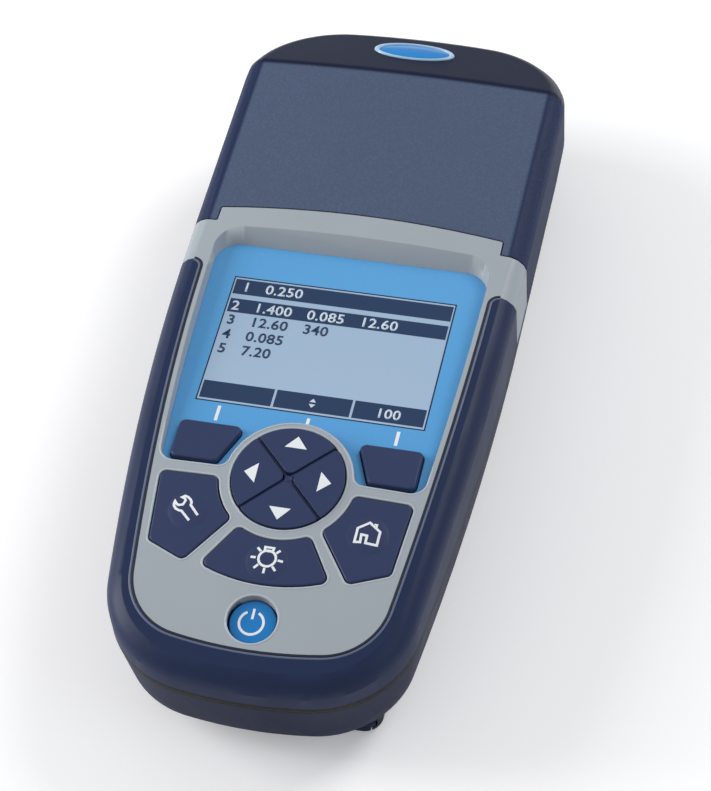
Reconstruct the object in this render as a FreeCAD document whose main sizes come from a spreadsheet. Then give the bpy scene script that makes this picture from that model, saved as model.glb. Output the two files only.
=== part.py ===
import FreeCAD, Part
import math
import os
import re

# Portable colorimeter, lying on its back: +Z out of the display face, +Y towards the cap end, +X to the right
# seen from the front. The origin is under the middle of the instrument, on the surface that its feet rest on.

doc = FreeCAD.newDocument("PortableColorimeter")
sheet = doc.addObject("Spreadsheet::Sheet", "Sizes")
# Every driving dimension: a name, and a length in millimetres or an angle in degrees
SIZES = {
    # Sizes of the whole housing
    "body_length": 232,
    "body_width": 96,
    "body_depth": 48,
    "crown_radius": 650,
    "edge_round": 5.5,
    "side_bow": 960,
    "side_bow_start": 25,
    "lower_end_bow": 118,
    "upper_end_bow": 330,
    "lower_corner": 28,
    "upper_corner": 29,
    "face_bend_start": 2,
    "brow_start": 91,
    "brow_angle": 20,
    "brow_round": 6,
    "parting_height": 27,
    "rear_face_height": 6,
    "rear_draft": 8,
    "rear_edge_round": 7,
    "rim_width": 5,
    "wall": 2.4,
    "floor_wall": 2.5,
    # Sizes of the cap and of the joint line between the cap and the front shell
    "cap_joint": 26.2,
    "tongue_half_width": 40.5,
    "tongue_height": 5,
    "tongue_bow": 400,
    "cap_gap": 0.4,
    "cap_lift_gap": 0.3,
    "cap_wall": 2.4,
    "badge_place": 104,
    "badge_width": 24,
    "badge_height": 10.5,
    "badge_rise": 0.5,
    "badge_sink": 0.6,
    # Sizes of the rubber grip band
    "band_width": 6.9,
    "band_end_width": 9,
    "band_thickness": 2.5,
    "band_top": 11.4,
    "band_tip_round": 2.8,
    "band_corner": 18,
    "band_lift": 0.5,
    # Sizes of the display panel and of what lies under it
    "panel_sink": 5.1,
    "panel_thickness": 1.2,
    "panel_inset": 9.1,
    "panel_top": 21.6,
    "panel_bottom": -55.8,
    "panel_upper_corner": 7,
    "panel_lower_corner": 4,
    "panel_inner_corner": 2.6,
    "recess_rise": 6,
    "recess_draft": 0.5,
    "recess_top_slope": 4,
    "window_width": 63.2,
    "window_length": 44.1,
    "window_place": -12.15,
    "lcd_margin": 2.4,
    "lcd_glass_drop": 1.3,
    "lcd_glass_thickness": 0.8,
    "lcd_clearance": 0.3,
    "cavity_drop": 4.4,
    "board_drop": 8.6,
    "board_thickness": 1.6,
    "board_width": 60,
    "board_top_end": 22,
    "board_low_end": -91,
    "board_tail_width": 22,
    "board_tail_end": -106,
    "chip_height": 1.4,
    "switch_size": 6,
    "switch_height": 0.6,
    # Sizes of the keys
    "key_gap": 0.3,
    "key_proud": 0.25,
    "key_edge": 0.6,
    "key_corner": 1.7,
    "flange_drop": 5.2,
    "flange_thickness": 1,
    "flange_width": 1.2,
    "stem_drop": 7.1,
    "stem_half_width": 1.8,
    "soft_key_height": 1.8,
    "soft_key_top": -42.1,
    "soft_key_bottom": -54.6,
    "soft_key_outer": 33.2,
    "soft_key_inner_top": 15.5,
    "soft_key_inner_bottom": 20.6,
    "nav_place": -57.2,
    "nav_radius": 15,
    "nav_proud": 0.5,
    "nav_slit": 0.9,
    "nav_centre_round": 2,
    "nav_ring": 2.5,
    "ring_web": 3.5,
    "side_key_top": -59.6,
    "side_key_outer": 34,
    "side_key_low_outer_across": 32.1,
    "side_key_low_outer": -80.1,
    "side_key_tip_across": 21.8,
    "side_key_tip": -84.5,
    "side_key_inner_across": 12.2,
    "side_key_top_inner_across": 18.3,
    "light_key_top_across": 9.5,
    "light_key_bottom_across": 16.9,
    "light_key_bottom": -84.9,
    "light_key_bow": 43,
    "power_place": -98.2,
    "power_radius": 6.2,
    "power_sink": 1.6,
    "power_flange_drop": 6.5,
    "power_flange_thickness": 0.6,
    # Sizes of the battery bay and its sliding door
    "plinth_width": 64,
    "plinth_low_end": -103,
    "plinth_corner": 5,
    "plinth_top_end": -29,
    "plinth_clearance": 1.2,
    "door_plate_width": 61.2,
    "door_plate_floor": 2.6,
    "door_plate_top": 4.4,
    "door_face_width": 58.8,
    "door_gap": 0.35,
    "bay_width": 59,
    "bay_low_end": -90,
    "bay_top_end": -31,
    "bay_roof": 20.3,
    "bay_wall": 2,
    "cell_radius": 7.15,
    "cell_length": 50.5,
    "cell_pitch": 14.6,
    "cell_height": 12.7,
    "contact_thickness": 0.5,
    "contact_size": 10,
    "contact_gap": 0.3,
    "foot_radius": 5,
    "foot_sink": 0.8,
    "foot_across": 20,
    "door_foot_place": -95,
    "upper_foot_place": 97,
    "upper_plinth_low_end": 54,
    "upper_plinth_top_end": 105,
    "upper_plinth_width": 56,
    # Sizes of the sample well and its optics
    "well_place": 74,
    "well_radius": 12.9,
    "well_wall": 2.4,
    "well_floor": 5.6,
    "well_floor_thickness": 1.8,
    "well_rim_rise": 3,
    "well_flange": 4,
    "well_seal_width": 1.4,
    "deck_thickness": 2,
    "deck_start": 36.8,
    "deck_inset": 2.8,
    "collar_width": 1.6,
    "collar_height": 5,
    "light_axis_height": 17,
    "light_bore": 2.2,
    "optic_block": 12,
    "optic_reach": 22,
    "lamp_radius": 1.5,
    "lamp_length": 5,
    "lens_radius": 2.1,
    "lens_thickness": 1.6,
    "sensor_radius": 4.1,
    "sensor_length": 2.4,
    "optic_board_thickness": 1.6,
    "optic_board_width": 18,
    "optic_board_length": 14,
    # Sizes of the fasteners, the seal and the socket
    "screw_radius": 1.5,
    "screw_sides": 8,
    "screw_head_radius": 2.8,
    "screw_head_height": 2,
    "boss_radius": 3.5,
    "housing_screw_length": 24,
    "upper_screw_across": 34,
    "upper_screw_place": 18,
    "lower_screw_across": 20,
    "lower_screw_place": -97,
    "board_screw_across": 27,
    "board_screw_upper": 18,
    "board_screw_lower": -88,
    "board_screw_length": 3,
    "board_post_radius": 2.4,
    "deck_screw_across": 33,
    "deck_screw_lower": 42,
    "deck_screw_upper": 97,
    "deck_screw_length": 9,
    "seal_inset": 1.2,
    "seal_width": 1.3,
    "seal_depth": 1,
    "socket_width": 7.7,
    "socket_height": 3.9,
    "socket_length": 9,
    "socket_across": 20,
    "socket_wall": 0.5,
}
for row, (alias, value) in enumerate(SIZES.items(), 1):
    sheet.set(f"A{row}", alias)
    sheet.set(f"B{row}", str(value))
    sheet.setAlias(f"B{row}", alias)
doc.recompute()

HALF_WIDTH = SIZES["body_width"] / 2
HALF_LENGTH = SIZES["body_length"] / 2
BIG = 200


def val(alias):
    return float(SIZES[alias])


def bound(text):
    """An expression in which each alias is read from the sheet; the panel's height is measured from the face."""
    text = text.replace("panel_height", "(body_depth - panel_sink)")
    return re.sub(r"[a-z_]{3,}", lambda word: "Sizes." + word[0] if word[0] in SIZES else word[0], text)


def bind(item, **sizes):
    """Ties properties of an object to the sheet; two underscores stand for a dot."""
    for name, text in sizes.items():
        item.setExpression(name.replace("__", "."), bound(text))


def place(item, x="0", y="0", z="0"):
    bind(item, Placement__Base__x=x, Placement__Base__y=y, Placement__Base__z=z)


# Outlines: sides that run counter-clockwise, each a line or an arc, with a radius at each corner
class Line:
    def __init__(self, start, end):
        self.start = start
        self.along = (end - start).normalize()
        self.right = FreeCAD.Vector(self.along.y, -self.along.x, 0)

    def grown(self, by):
        start = self.start + self.right * by
        return Line(start, start + self.along)

    def nearest(self, point):
        return self.start + self.along * (point - self.start).dot(self.along)

    def heading(self, point):
        return self.along


class Bow:
    """A side along a circle; turn is 1 where it bulges outwards and -1 where it is hollow."""

    def __init__(self, centre, radius, turn=1):
        self.centre = centre
        self.radius = radius
        self.turn = turn

    def grown(self, by):
        return Bow(self.centre, self.radius + self.turn * by, self.turn)

    def nearest(self, point):
        return self.centre + (point - self.centre).normalize() * self.radius

    def heading(self, point):
        out = (point - self.centre).normalize()
        return FreeCAD.Vector(-out.y, out.x, 0) * self.turn


def vec(x, y):
    return FreeCAD.Vector(x, y, 0)


def meet(one, two, near):
    """Where two sides cross, nearest to a point."""
    if isinstance(one, Bow) and isinstance(two, Line):
        one, two = two, one
    if isinstance(one, Line) and isinstance(two, Line):
        gap = two.start - one.start
        cross = one.along.x * two.along.y - one.along.y * two.along.x
        return one.start + one.along * ((gap.x * two.along.y - gap.y * two.along.x) / cross)
    if isinstance(one, Line):
        foot = one.nearest(two.centre)
        reach = math.sqrt(max(0, two.radius ** 2 - (foot - two.centre).Length ** 2))
        choices = [foot + one.along * reach, foot - one.along * reach]
    else:
        apart = two.centre - one.centre
        along = (apart.Length ** 2 + one.radius ** 2 - two.radius ** 2) / (2 * apart.Length)
        reach = math.sqrt(max(0, one.radius ** 2 - along ** 2))
        unit = FreeCAD.Vector(apart).normalize()
        side = FreeCAD.Vector(-unit.y, unit.x, 0)
        foot = one.centre + unit * along
        choices = [foot + side * reach, foot - side * reach]
    return min(choices, key=lambda point: (point - near).Length)


class Outline:
    """A closed outline: its corners, the sides between them that are arcs, and the corners' radii."""

    def __init__(self, corners, bows=None, rounds=0):
        count = len(corners)
        bows = bows or {}
        self.corners = [vec(*corner) for corner in corners]
        self.rounds = rounds if isinstance(rounds, list) else [rounds] * count
        self.sides = []
        for index in range(count):
            line = Line(self.corners[index], self.corners[(index + 1) % count])
            self.sides.append(bows.get(index) or line)

    def grown(self, by=0):
        """The edges of the outline, moved outwards by a distance."""
        count = len(self.sides)
        sides = [side.grown(by) for side in self.sides]
        corners = [meet(sides[index - 1], sides[index], self.corners[index]) for index in range(count)]
        starts = list(corners)
        ends = list(corners)
        fillets = [None] * count
        for index in range(count):
            before, after, corner = sides[index - 1], sides[index], corners[index]
            first, second = before.heading(corner), after.heading(corner)
            bend = first.x * second.y - first.y * second.x
            if self.rounds[index] == 0 or abs(bend) < 0.001:
                continue
            turn = 1 if bend > 0 else -1
            radius = self.rounds[index] + turn * by
            if radius < 0.05:
                continue
            centre = meet(before.grown(-turn * radius), after.grown(-turn * radius), corner)
            ends[index] = before.nearest(centre)
            starts[index] = after.nearest(centre)
            fillets[index] = Bow(centre, radius, turn)
        edges = []
        for index in range(count):
            if fillets[index]:
                edges.append(arc_or_line(fillets[index], ends[index], starts[index]))
            edges.append(arc_or_line(sides[index], starts[index], ends[(index + 1) % count]))
        return edges


def arc_or_line(side, start, end):
    if isinstance(side, Line):
        return Part.LineSegment(start, end)
    middle = (start + end) / 2 - side.centre
    chord = end - start
    if middle.Length < 0.001 * side.radius:
        middle = FreeCAD.Vector(chord.y, -chord.x, 0) * side.turn
    return Part.Arc(start, side.centre + middle.normalize() * side.radius, end)


def mirrored(points):
    return [(-x, y) for x, y in reversed(points)]


# Sketches and the features made from them
def plane_of(body, role):
    return [feature for feature in body.Origin.OriginFeatures if feature.Role == role][0]


def sketch_on(body, plane, edges, shift_x="0", shift_y="0", height="0"):
    """A sketch on one of the body's origin planes, holding the given edges."""
    sketch = body.newObject("Sketcher::SketchObject", body.Name + "Sketch")
    sketch.AttachmentSupport = (plane_of(body, plane), [""])
    sketch.MapMode = "FlatFace"
    bind(sketch, AttachmentOffset__Base__x=shift_x, AttachmentOffset__Base__y=shift_y,
         AttachmentOffset__Base__z=height)
    sketch.addGeometry(edges, False)
    return sketch


def new_body(name):
    body = doc.addObject("PartDesign::Body", name)
    body.Label = name
    return body


def feature(body, kind, profile=None, **sizes):
    """One feature of a body, with its sizes tied to the sheet."""
    made = body.newObject("PartDesign::" + kind, body.Name + kind)
    if profile is not None:
        made.Profile = profile
    bind(made, **sizes)
    return made


def pad(body, edges, bottom, length, plane="XY_Plane", reversed_way=False):
    made = feature(body, "Pad", sketch_on(body, plane, edges, height=bottom), Length=length)
    made.Reversed = reversed_way
    doc.recompute()
    return made


def loft(body, sections, ruled=True):
    """A loft through sections, each a pair of edges and a height."""
    sketches = [sketch_on(body, "XY_Plane", edges, height=height) for edges, height in sections]
    made = feature(body, "AdditiveLoft", sketches[0])
    made.Sections = sketches[1:]
    made.Ruled = ruled
    doc.recompute()
    return made


def chamfer(body, edges, width):
    base = body.Tip
    made = feature(body, "Chamfer", Size=width)
    made.Base = (base, edges)
    doc.recompute()
    return made


def rounding(body, edges, radius):
    """Rounds an edge with three narrow flats that touch the arc of the given radius."""
    chamfer(body, edges, f"{radius} * {2 - math.sqrt(2):.3f}")
    slanting = [face for face in body.Shape.Faces if 0.4 < abs(normal_of(face).z) < 0.88]
    borders = edges_where(body.Shape, lambda edge: sum(
        any(edge.isSame(other) for other in face.Edges) for face in slanting) == 1)
    chamfer(body, borders, f"{radius} * {math.tan(math.pi / 8) - math.tan(math.pi / 16):.3f}")


def face_edges(shape, face):
    """The names of the edges of one face."""
    return [f"Edge{index}" for index, edge in enumerate(shape.Edges, 1)
            if any(edge.isSame(other) for other in face.Edges)]


def edges_where(shape, wanted):
    return [f"Edge{index}" for index, edge in enumerate(shape.Edges, 1) if wanted(edge)]


def boolean(kind, name, base, tools):
    """A cut or a common part, with every tool joined first."""
    made = doc.addObject("Part::" + kind, name)
    made.Base = base
    made.Tool = tools if not isinstance(tools, list) else fuse(name + "Tools", tools)
    made.Label = name
    doc.recompute()
    return made


def fuse(name, shapes):
    made = doc.addObject("Part::MultiFuse", name)
    made.Shapes = shapes
    made.Label = name
    doc.recompute()
    return made


def box(name, width, length, height, x="0", y="0", z="0"):
    """A box centred on x and y, standing on z."""
    made = doc.addObject("Part::Box", name)
    made.Label = name
    bind(made, Length=width, Width=length, Height=height)
    place(made, f"{x} - ({width}) / 2", f"{y} - ({length}) / 2", z)
    return made


AXES = {"Z": (0, 0, 1, 0), "X": (0, 1, 0, 90), "Y": (1, 0, 0, -90)}


def stand(made, x, y, z, along):
    """Turns a round or many-sided piece to its axis and puts its foot in place."""
    made.Label = made.Name
    axis = AXES[along]
    made.Placement.Rotation = FreeCAD.Rotation(FreeCAD.Vector(*axis[:3]), axis[3])
    place(made, x, y, z)
    return made


def cylinder(name, radius, height, x="0", y="0", z="0", along="Z"):
    made = doc.addObject("Part::Cylinder", name)
    bind(made, Radius=radius, Height=height)
    return stand(made, x, y, z, along)


def post(name, radius, height, x="0", y="0", z="0", along="Z"):
    """A straight many-sided post: a moulded boss, the hole in it or the shank of its screw."""
    made = doc.addObject("Part::Prism", name)
    bind(made, Polygon="screw_sides", Circumradius=radius, Height=height)
    return stand(made, x, y, z, along)


def circle(radius, x=0, y=0):
    return [Part.Circle(vec(x, y), vec(0, 0) + FreeCAD.Vector(0, 0, 1), radius)]


# The instrument seen from the front
def side_circle(across=1):
    """The long bow of a side; it starts square to the cap end and draws in towards the lower end."""
    centre = vec(across * (HALF_WIDTH - val("side_bow")), val("side_bow_start"))
    return Bow(centre, val("side_bow"))


def lower_end_circle(inset=0):
    return Bow(vec(0, val("lower_end_bow") - HALF_LENGTH), val("lower_end_bow") - inset)


def upper_end_circle():
    return Bow(vec(0, HALF_LENGTH - val("upper_end_bow")), val("upper_end_bow"))


def body_outline():
    """The outline of the whole instrument."""
    start = val("side_bow_start")
    low_corner = HALF_WIDTH - (start + HALF_LENGTH) ** 2 / (2 * val("side_bow"))
    right = [(low_corner, -HALF_LENGTH), (HALF_WIDTH, start), (HALF_WIDTH, HALF_LENGTH)]
    bows = {0: side_circle(1), 2: upper_end_circle(), 4: side_circle(-1), 5: lower_end_circle()}
    rounds = [val("lower_corner"), 0, val("upper_corner"), val("upper_corner"), 0, val("lower_corner")]
    return Outline(right + mirrored(right), bows, rounds)


def face_profile(drop=0):
    """The lengthwise curve of the front face, closed well above it, as radii about the crown's axis.

    The lower part bends by the crown's own radius about a point on the axis, so there the face is a piece of a ball.
    """
    crown = val("crown_radius")
    start = val("face_bend_start")
    tilt = math.radians(val("brow_angle"))
    turn = val("brow_round")
    centre = vec(val("brow_start") - turn * math.tan(tilt / 2), crown - turn)
    low, halfway = [vec(at, math.sqrt((crown - drop) ** 2 - (at - start) ** 2)) for at in (-BIG, (start - BIG) / 2)]
    flat_start, flat_end = vec(start, crown - drop), centre + vec(0, turn - drop)
    crease_middle = centre + vec(math.sin(tilt / 2), math.cos(tilt / 2)) * (turn - drop)
    brow_start = centre + vec(math.sin(tilt), math.cos(tilt)) * (turn - drop)
    brow_end = brow_start + vec(math.cos(tilt), -math.sin(tilt)) * BIG
    above = [vec(brow_end.x, crown + BIG / 5), vec(-BIG, crown + BIG / 5)]
    return [Part.Arc(low, halfway, flat_start), Part.LineSegment(flat_start, flat_end),
            Part.Arc(flat_end, crease_middle, brow_start), Part.LineSegment(brow_start, brow_end),
            Part.LineSegment(brow_end, above[0]), Part.LineSegment(above[0], above[1]),
            Part.LineSegment(above[1], low)]


def crown_cut(body, drop=0):
    """Turns the face's curve about a far axis, so that the face is crowned across as well."""
    sketch = sketch_on(body, "YZ_Plane", face_profile(drop), shift_y="body_depth - crown_radius")
    made = feature(body, "Groove", sketch)
    made.ReferenceAxis = (sketch, ["H_Axis"])
    made.Midplane = True
    made.Angle = 20
    doc.recompute()
    return made


def normal_of(face):
    low_u, high_u, low_v, high_v = face.ParameterRange
    return face.normalAt((low_u + high_u) / 2, (low_v + high_v) / 2)


def rim_edges(shape):
    """The edges round the front face: those that belong to one upward face only."""
    fronts = [face for face in shape.Faces if normal_of(face).z > 0.3]
    return edges_where(shape, lambda edge: sum(
        any(edge.isSame(other) for other in face.Edges) for face in fronts) == 1)


def front_form(name, inset, drop, bottom, round_by=None):
    """The front half of the housing, or the same form drawn in all round."""
    body = new_body(name)
    pad(body, body_outline().grown(-inset), bottom, f"body_depth + edge_round - ({bottom})")
    crown_cut(body, drop)
    if round_by:
        rounding(body, rim_edges(body.Shape), round_by)
    return body


def drafted(name, edges, bottom, top, angle):
    """A pad whose walls draw in towards its lower end."""
    body = new_body(name)
    base = pad(body, edges, bottom, f"{top} - ({bottom})")
    walls = [f"Face{index}" for index, face in enumerate(base.Shape.Faces, 1) if abs(normal_of(face).z) < 0.5]
    upper = [f"Face{index}" for index, face in enumerate(base.Shape.Faces, 1) if normal_of(face).z > 0.5]
    made = feature(body, "Draft", Angle=angle)
    made.Base = (base, walls)
    made.NeutralPlane = (base, upper)
    made.Reversed = True
    doc.recompute()
    return body


def prism(name, edges, bottom, length, plane="XY_Plane"):
    body = new_body(name)
    pad(body, edges, bottom, length, plane)
    return body


# The joint between the cap and the front shell, with its raised tongue
def cap_outline():
    across, start = val("tongue_half_width"), val("cap_joint")
    top = start + val("tongue_height")
    bow = val("tongue_bow")
    tongue = Bow(vec(0, top - math.sqrt(bow ** 2 - across ** 2)), bow, -1)
    corners = [(-BIG, start), (-across, start), (-across, top), (across, top), (across, start), (BIG, start),
               (BIG, BIG), (-BIG, BIG)]
    small = 0.6
    return Outline(corners, {2: tongue}, [0, small, small, small, small, 0, 0, 0])


def band_outline():
    """The U of the grip band, far wider than the housing on its outer side."""
    top = val("band_top")
    width, end = val("band_width"), val("band_end_width")
    right = side_circle(1).grown(-width)
    left = side_circle(-1).grown(-width)
    lower = lower_end_circle(end)
    inner = right.centre.x + math.sqrt(right.radius ** 2 - (top - right.centre.y) ** 2)
    low = end - HALF_LENGTH
    low_inner = inner - (top - low) ** 2 / (2 * val("side_bow"))
    corners = [(-BIG, top), (-BIG, -BIG), (BIG, -BIG), (BIG, top), (inner, top), (low_inner, low),
               (-low_inner, low), (-inner, top)]
    bows = {4: Bow(right.centre, right.radius, -1), 5: Bow(lower.centre, lower.radius, -1),
            6: Bow(left.centre, left.radius, -1)}
    tip, corner = val("band_tip_round"), val("band_corner")
    return Outline(corners, bows, [0, 0, 0, 0, tip, corner, corner, tip])


def panel_outline(rise=0):
    """The blue panel: it follows the sides, and leaves room for the ring round the direction keys."""
    top, low = val("panel_top") + rise, val("panel_bottom")
    ring = val("nav_radius") + val("nav_ring")
    ring_end = math.sqrt(ring ** 2 - (low - val("nav_place")) ** 2)
    right, left = side_circle(1).grown(-val("panel_inset")), side_circle(-1).grown(-val("panel_inset"))
    reach = [right.centre.x + math.sqrt(right.radius ** 2 - (y - right.centre.y) ** 2) for y in (low, top)]
    half = [(ring_end, low), (reach[0], low), (reach[1], top)]
    bows = {1: right, 3: left, 5: Bow(vec(0, val("nav_place")), ring, -1)}
    inner, lower, upper = val("panel_inner_corner"), val("panel_lower_corner"), val("panel_upper_corner")
    return Outline(half + mirrored(half), bows, [inner, lower, upper, upper, lower, inner])


# The keys seen from the front
def soft_key_outline(across):
    points = [(val("soft_key_inner_bottom"), val("soft_key_bottom")), (val("soft_key_outer"), val("soft_key_bottom")),
              (val("soft_key_outer"), val("soft_key_top")), (val("soft_key_inner_top"), val("soft_key_top"))]
    return Outline(points if across > 0 else mirrored(points), rounds=val("key_corner"))


def nav_key_outline(quarter, radius):
    """One quarter of the round direction pad, turned a number of quarter turns from the upper one."""
    slit = val("nav_slit") / math.sqrt(2)
    reach = radius / math.sqrt(2)
    centre = vec(0, val("nav_place"))
    turn = FreeCAD.Rotation(FreeCAD.Vector(0, 0, 1), 90 * quarter)
    points = [turn.multVec(vec(*point)) + centre for point in ((0, slit), (reach, slit + reach), (-reach, slit + reach))]
    corners = [(point.x, point.y) for point in points]
    return Outline(corners, {1: Bow(centre, radius)}, [val("nav_centre_round"), val("key_edge"), val("key_edge")])


def ring_circle():
    return Bow(vec(0, val("nav_place")), val("nav_radius") + val("ring_web"), -1)


def on_ring(across):
    ring = ring_circle()
    return ring.centre.y - math.sqrt(ring.radius ** 2 - across ** 2)


def side_key_outline(across):
    inner = val("side_key_inner_across")
    points = [(val("side_key_tip_across"), val("side_key_tip")),
              (val("side_key_low_outer_across"), val("side_key_low_outer")),
              (val("side_key_outer"), val("side_key_top")),
              (val("side_key_top_inner_across"), val("side_key_top")), (inner, on_ring(inner))]
    if across > 0:
        return Outline(points, {3: ring_circle()}, val("key_corner"))
    return Outline(mirrored(points), {0: ring_circle()}, val("key_corner"))


def light_key_outline():
    across, low = val("light_key_bottom_across"), val("light_key_bottom")
    bow = val("light_key_bow")
    upper = val("light_key_top_across")
    bottom = Bow(vec(0, low + math.sqrt(bow ** 2 - across ** 2)), bow)
    corners = [(-across, low), (across, low), (upper, on_ring(upper)), (-upper, on_ring(upper))]
    return Outline(corners, {0: bottom, 2: ring_circle()}, val("key_corner"))


class RoundKey:
    def grown(self, by=0):
        return circle(val("power_radius") + by, 0, val("power_place"))


def middle(outline):
    """The middle of a key, where its stem stands."""
    face = Part.Face(Part.Wire([edge.toShape() for edge in outline.grown()]))
    return face.CenterOfMass


# Every face key: name, outline, outline of its flange and how far it stands proud of the face
SOFT_KEYS = {"key_soft_left": soft_key_outline(-1), "key_soft_right": soft_key_outline(1)}
NAV_KEYS = {"key_up": 0, "key_left": 1, "key_down": 2, "key_right": 3}
FACE_KEYS = {"key_settings": side_key_outline(-1), "key_home": side_key_outline(1), "key_light": light_key_outline()}


def key(name, outline, flange_edges, drop, thickness, sink=None, flat_top=None):
    """A key: a flange that the shell holds down, a cap that stands in its opening and a stem below."""
    body = new_body(name)
    bottom = f"panel_height - {drop} - {thickness}"
    pad(body, flange_edges, bottom, thickness)
    if flat_top:
        pad(body, outline.grown(), bottom, f"{flat_top} - ({bottom})")
        top = max(body.Shape.Faces, key=lambda face: face.CenterOfMass.z)
        chamfer(body, face_edges(body.Shape, top), "key_edge")
    else:
        pad(body, outline.grown(), bottom, f"body_depth + edge_round - ({bottom})")
        crown_cut(body, sink)
    point = middle(outline)
    stem = Outline([(point.x + across * val("stem_half_width"), point.y + along * val("stem_half_width"))
                    for across, along in ((-1, -1), (1, -1), (1, 1), (-1, 1))]).grown()
    pad(body, stem, "panel_height - stem_drop", f"stem_drop - {drop} - {thickness} / 2")
    return body


# Outer forms that several pieces share
housing_form = front_form("HousingForm", 0, 0, "parting_height", "edge_round")
cap_space = prism("CapSpace", cap_outline().grown(), "parting_height - wall", "body_depth")
band_zone = prism("BandZone", band_outline().grown(), "parting_height + band_lift", "body_depth")
band_core = front_form("BandCore", val("band_thickness"), val("band_thickness"), "parting_height - wall")
recess = new_body("DisplayRecess")
loft(recess, [(panel_outline().grown(), "panel_height"),
              (panel_outline(val("recess_top_slope")).grown(val("recess_draft")), "panel_height + recess_rise")])
pad(recess, panel_outline().grown(), "panel_height - panel_thickness", "panel_thickness")

# The grip band: a skin of rubber over the lower sides and the lower end
band_blank = boolean("Common", "BandBlank", housing_form, band_zone)
grip_band = boolean("Cut", "grip_band", band_blank, band_core)

# The front shell, with the recess for the display panel and an opening for each key
cavity_form = front_form("FrontCavityForm", val("rim_width"), val("wall"), "parting_height - wall")
cavity_limit = box("FrontCavityLimit", "body_width", f"{BIG}", "panel_height - cavity_drop - parting_height + wall",
                   y=f"cap_joint - wall - {BIG} / 2", z="parting_height - wall")
front_cavity = boolean("Common", "FrontCavity", cavity_form, cavity_limit)
lcd_hole = box("LcdHole", "window_width + 2 * lcd_margin + 2 * lcd_clearance",
               "window_length + 2 * lcd_margin + 2 * lcd_clearance", "cavity_drop", y="window_place",
               z="panel_height - cavity_drop")
openings = []
for name, outline in list(SOFT_KEYS.items()) + list(FACE_KEYS.items()) + [("key_power", RoundKey())]:
    openings.append(prism("Opening_" + name, outline.grown(val("key_gap")), "parting_height", "body_depth"))
openings.append(prism("Opening_nav", circle(val("nav_radius") + val("key_gap"), 0, val("nav_place")),
                      "parting_height", "body_depth"))
socket_hole = box("SocketHole", "socket_width + key_gap", "socket_length + tongue_height", "socket_height + key_gap",
                  "socket_across", "cap_joint + tongue_height / 2", "panel_height - board_drop - key_gap / 2")
shell_blank = boolean("Cut", "ShellBlank", housing_form,
                      [cap_space, grip_band, front_cavity, recess, lcd_hole, socket_hole] + openings)
posts = []
holes = []
for side in ("-", ""):
    for end in ("upper", "lower"):
        across, along = f"{side}board_screw_across", f"board_screw_{end}"
        posts.append(post(f"BoardPost{len(posts)}", "board_post_radius", "board_drop - cavity_drop + wall / 2",
                              across, along, "panel_height - board_drop"))
        holes.append(post(f"BoardHole{len(holes)}", "screw_radius", "board_screw_length + switch_height",
                              across, along, "panel_height - board_drop"))
        across, along = f"{side}{end}_screw_across", f"{end}_screw_place"
        reach = "wall / 2" if end == "upper" else "0"
        posts.append(post(f"ShellBoss{len(posts)}", "boss_radius",
                              f"panel_height - cavity_drop + {reach} - parting_height", across, along,
                              "parting_height"))
        holes.append(post(f"ShellHole{len(holes)}", "screw_radius",
                              "panel_height - cavity_drop - wall - parting_height", across, along,
                              "parting_height"))
shell_with_posts = fuse("ShellWithPosts", [shell_blank] + posts)
front_shell = boolean("Cut", "front_shell", shell_with_posts, holes)

# The cap: a hood that lifts off the sample well, with an oval badge let into its brow
cap_zone = prism("CapZone", cap_outline().grown(-val("cap_gap")), "parting_height + cap_lift_gap", "body_depth")
cap_inner_form = front_form("CapInnerForm", val("cap_wall"), val("cap_wall"), "parting_height - wall")
cap_inner_zone = prism("CapInnerZone", cap_outline().grown(-val("cap_gap") - val("cap_wall")),
                       "parting_height - wall", "body_depth")
cap_hollow = boolean("Common", "CapHollow", cap_inner_form, cap_inner_zone)
cap_blank = boolean("Common", "CapBlank", housing_form, cap_zone)


def badge_form(name, depth, rise):
    """An oval plate square to the sloping brow."""
    body = new_body(name)
    oval = [Part.Ellipse(vec(0, 0), val("badge_width") / 2, val("badge_height") / 2)]
    pad(body, oval, f"-({depth})", f"{depth} + {rise}")
    body.Placement.Rotation = FreeCAD.Rotation(FreeCAD.Vector(1, 0, 0), -val("brow_angle"))
    place(body, y="badge_place", z="body_depth - (badge_place - brow_start) * tan(brow_angle)")
    return body


badge_seat = badge_form("BadgeSeat", "badge_sink", "edge_round")
cap = boolean("Cut", "cap", cap_blank, [cap_hollow, badge_seat])
cap_badge = badge_form("cap_badge", "badge_sink", "badge_rise")
chamfer(cap_badge, face_edges(cap_badge.Shape, max(cap_badge.Shape.Faces, key=lambda face: face.CenterOfMass.z)),
        "badge_rise * 0.8")

# The display: the blue panel, its window and the liquid crystal module under it
panel_plate = prism("PanelPlate", panel_outline().grown(), "panel_height - panel_thickness", "panel_thickness")
window_hole = box("WindowHole", "window_width", "window_length", "2 * panel_thickness", y="window_place",
                  z="panel_height - 1.5 * panel_thickness")
display_panel = boolean("Cut", "display_panel", panel_plate, [window_hole] + openings[:2])
display_window = box("display_window", "window_width", "window_length", "panel_thickness", y="window_place",
                     z="panel_height - panel_thickness")
lcd_width = "window_width + 2 * lcd_margin"
lcd_length = "window_length + 2 * lcd_margin"
lcd_glass = box("lcd_glass", lcd_width, lcd_length, "lcd_glass_thickness", y="window_place",
                z="panel_height - lcd_glass_drop - lcd_glass_thickness")
lcd_module = box("lcd_module", lcd_width, lcd_length, "board_drop - lcd_glass_drop - lcd_glass_thickness",
                 y="window_place", z="panel_height - board_drop")

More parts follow.
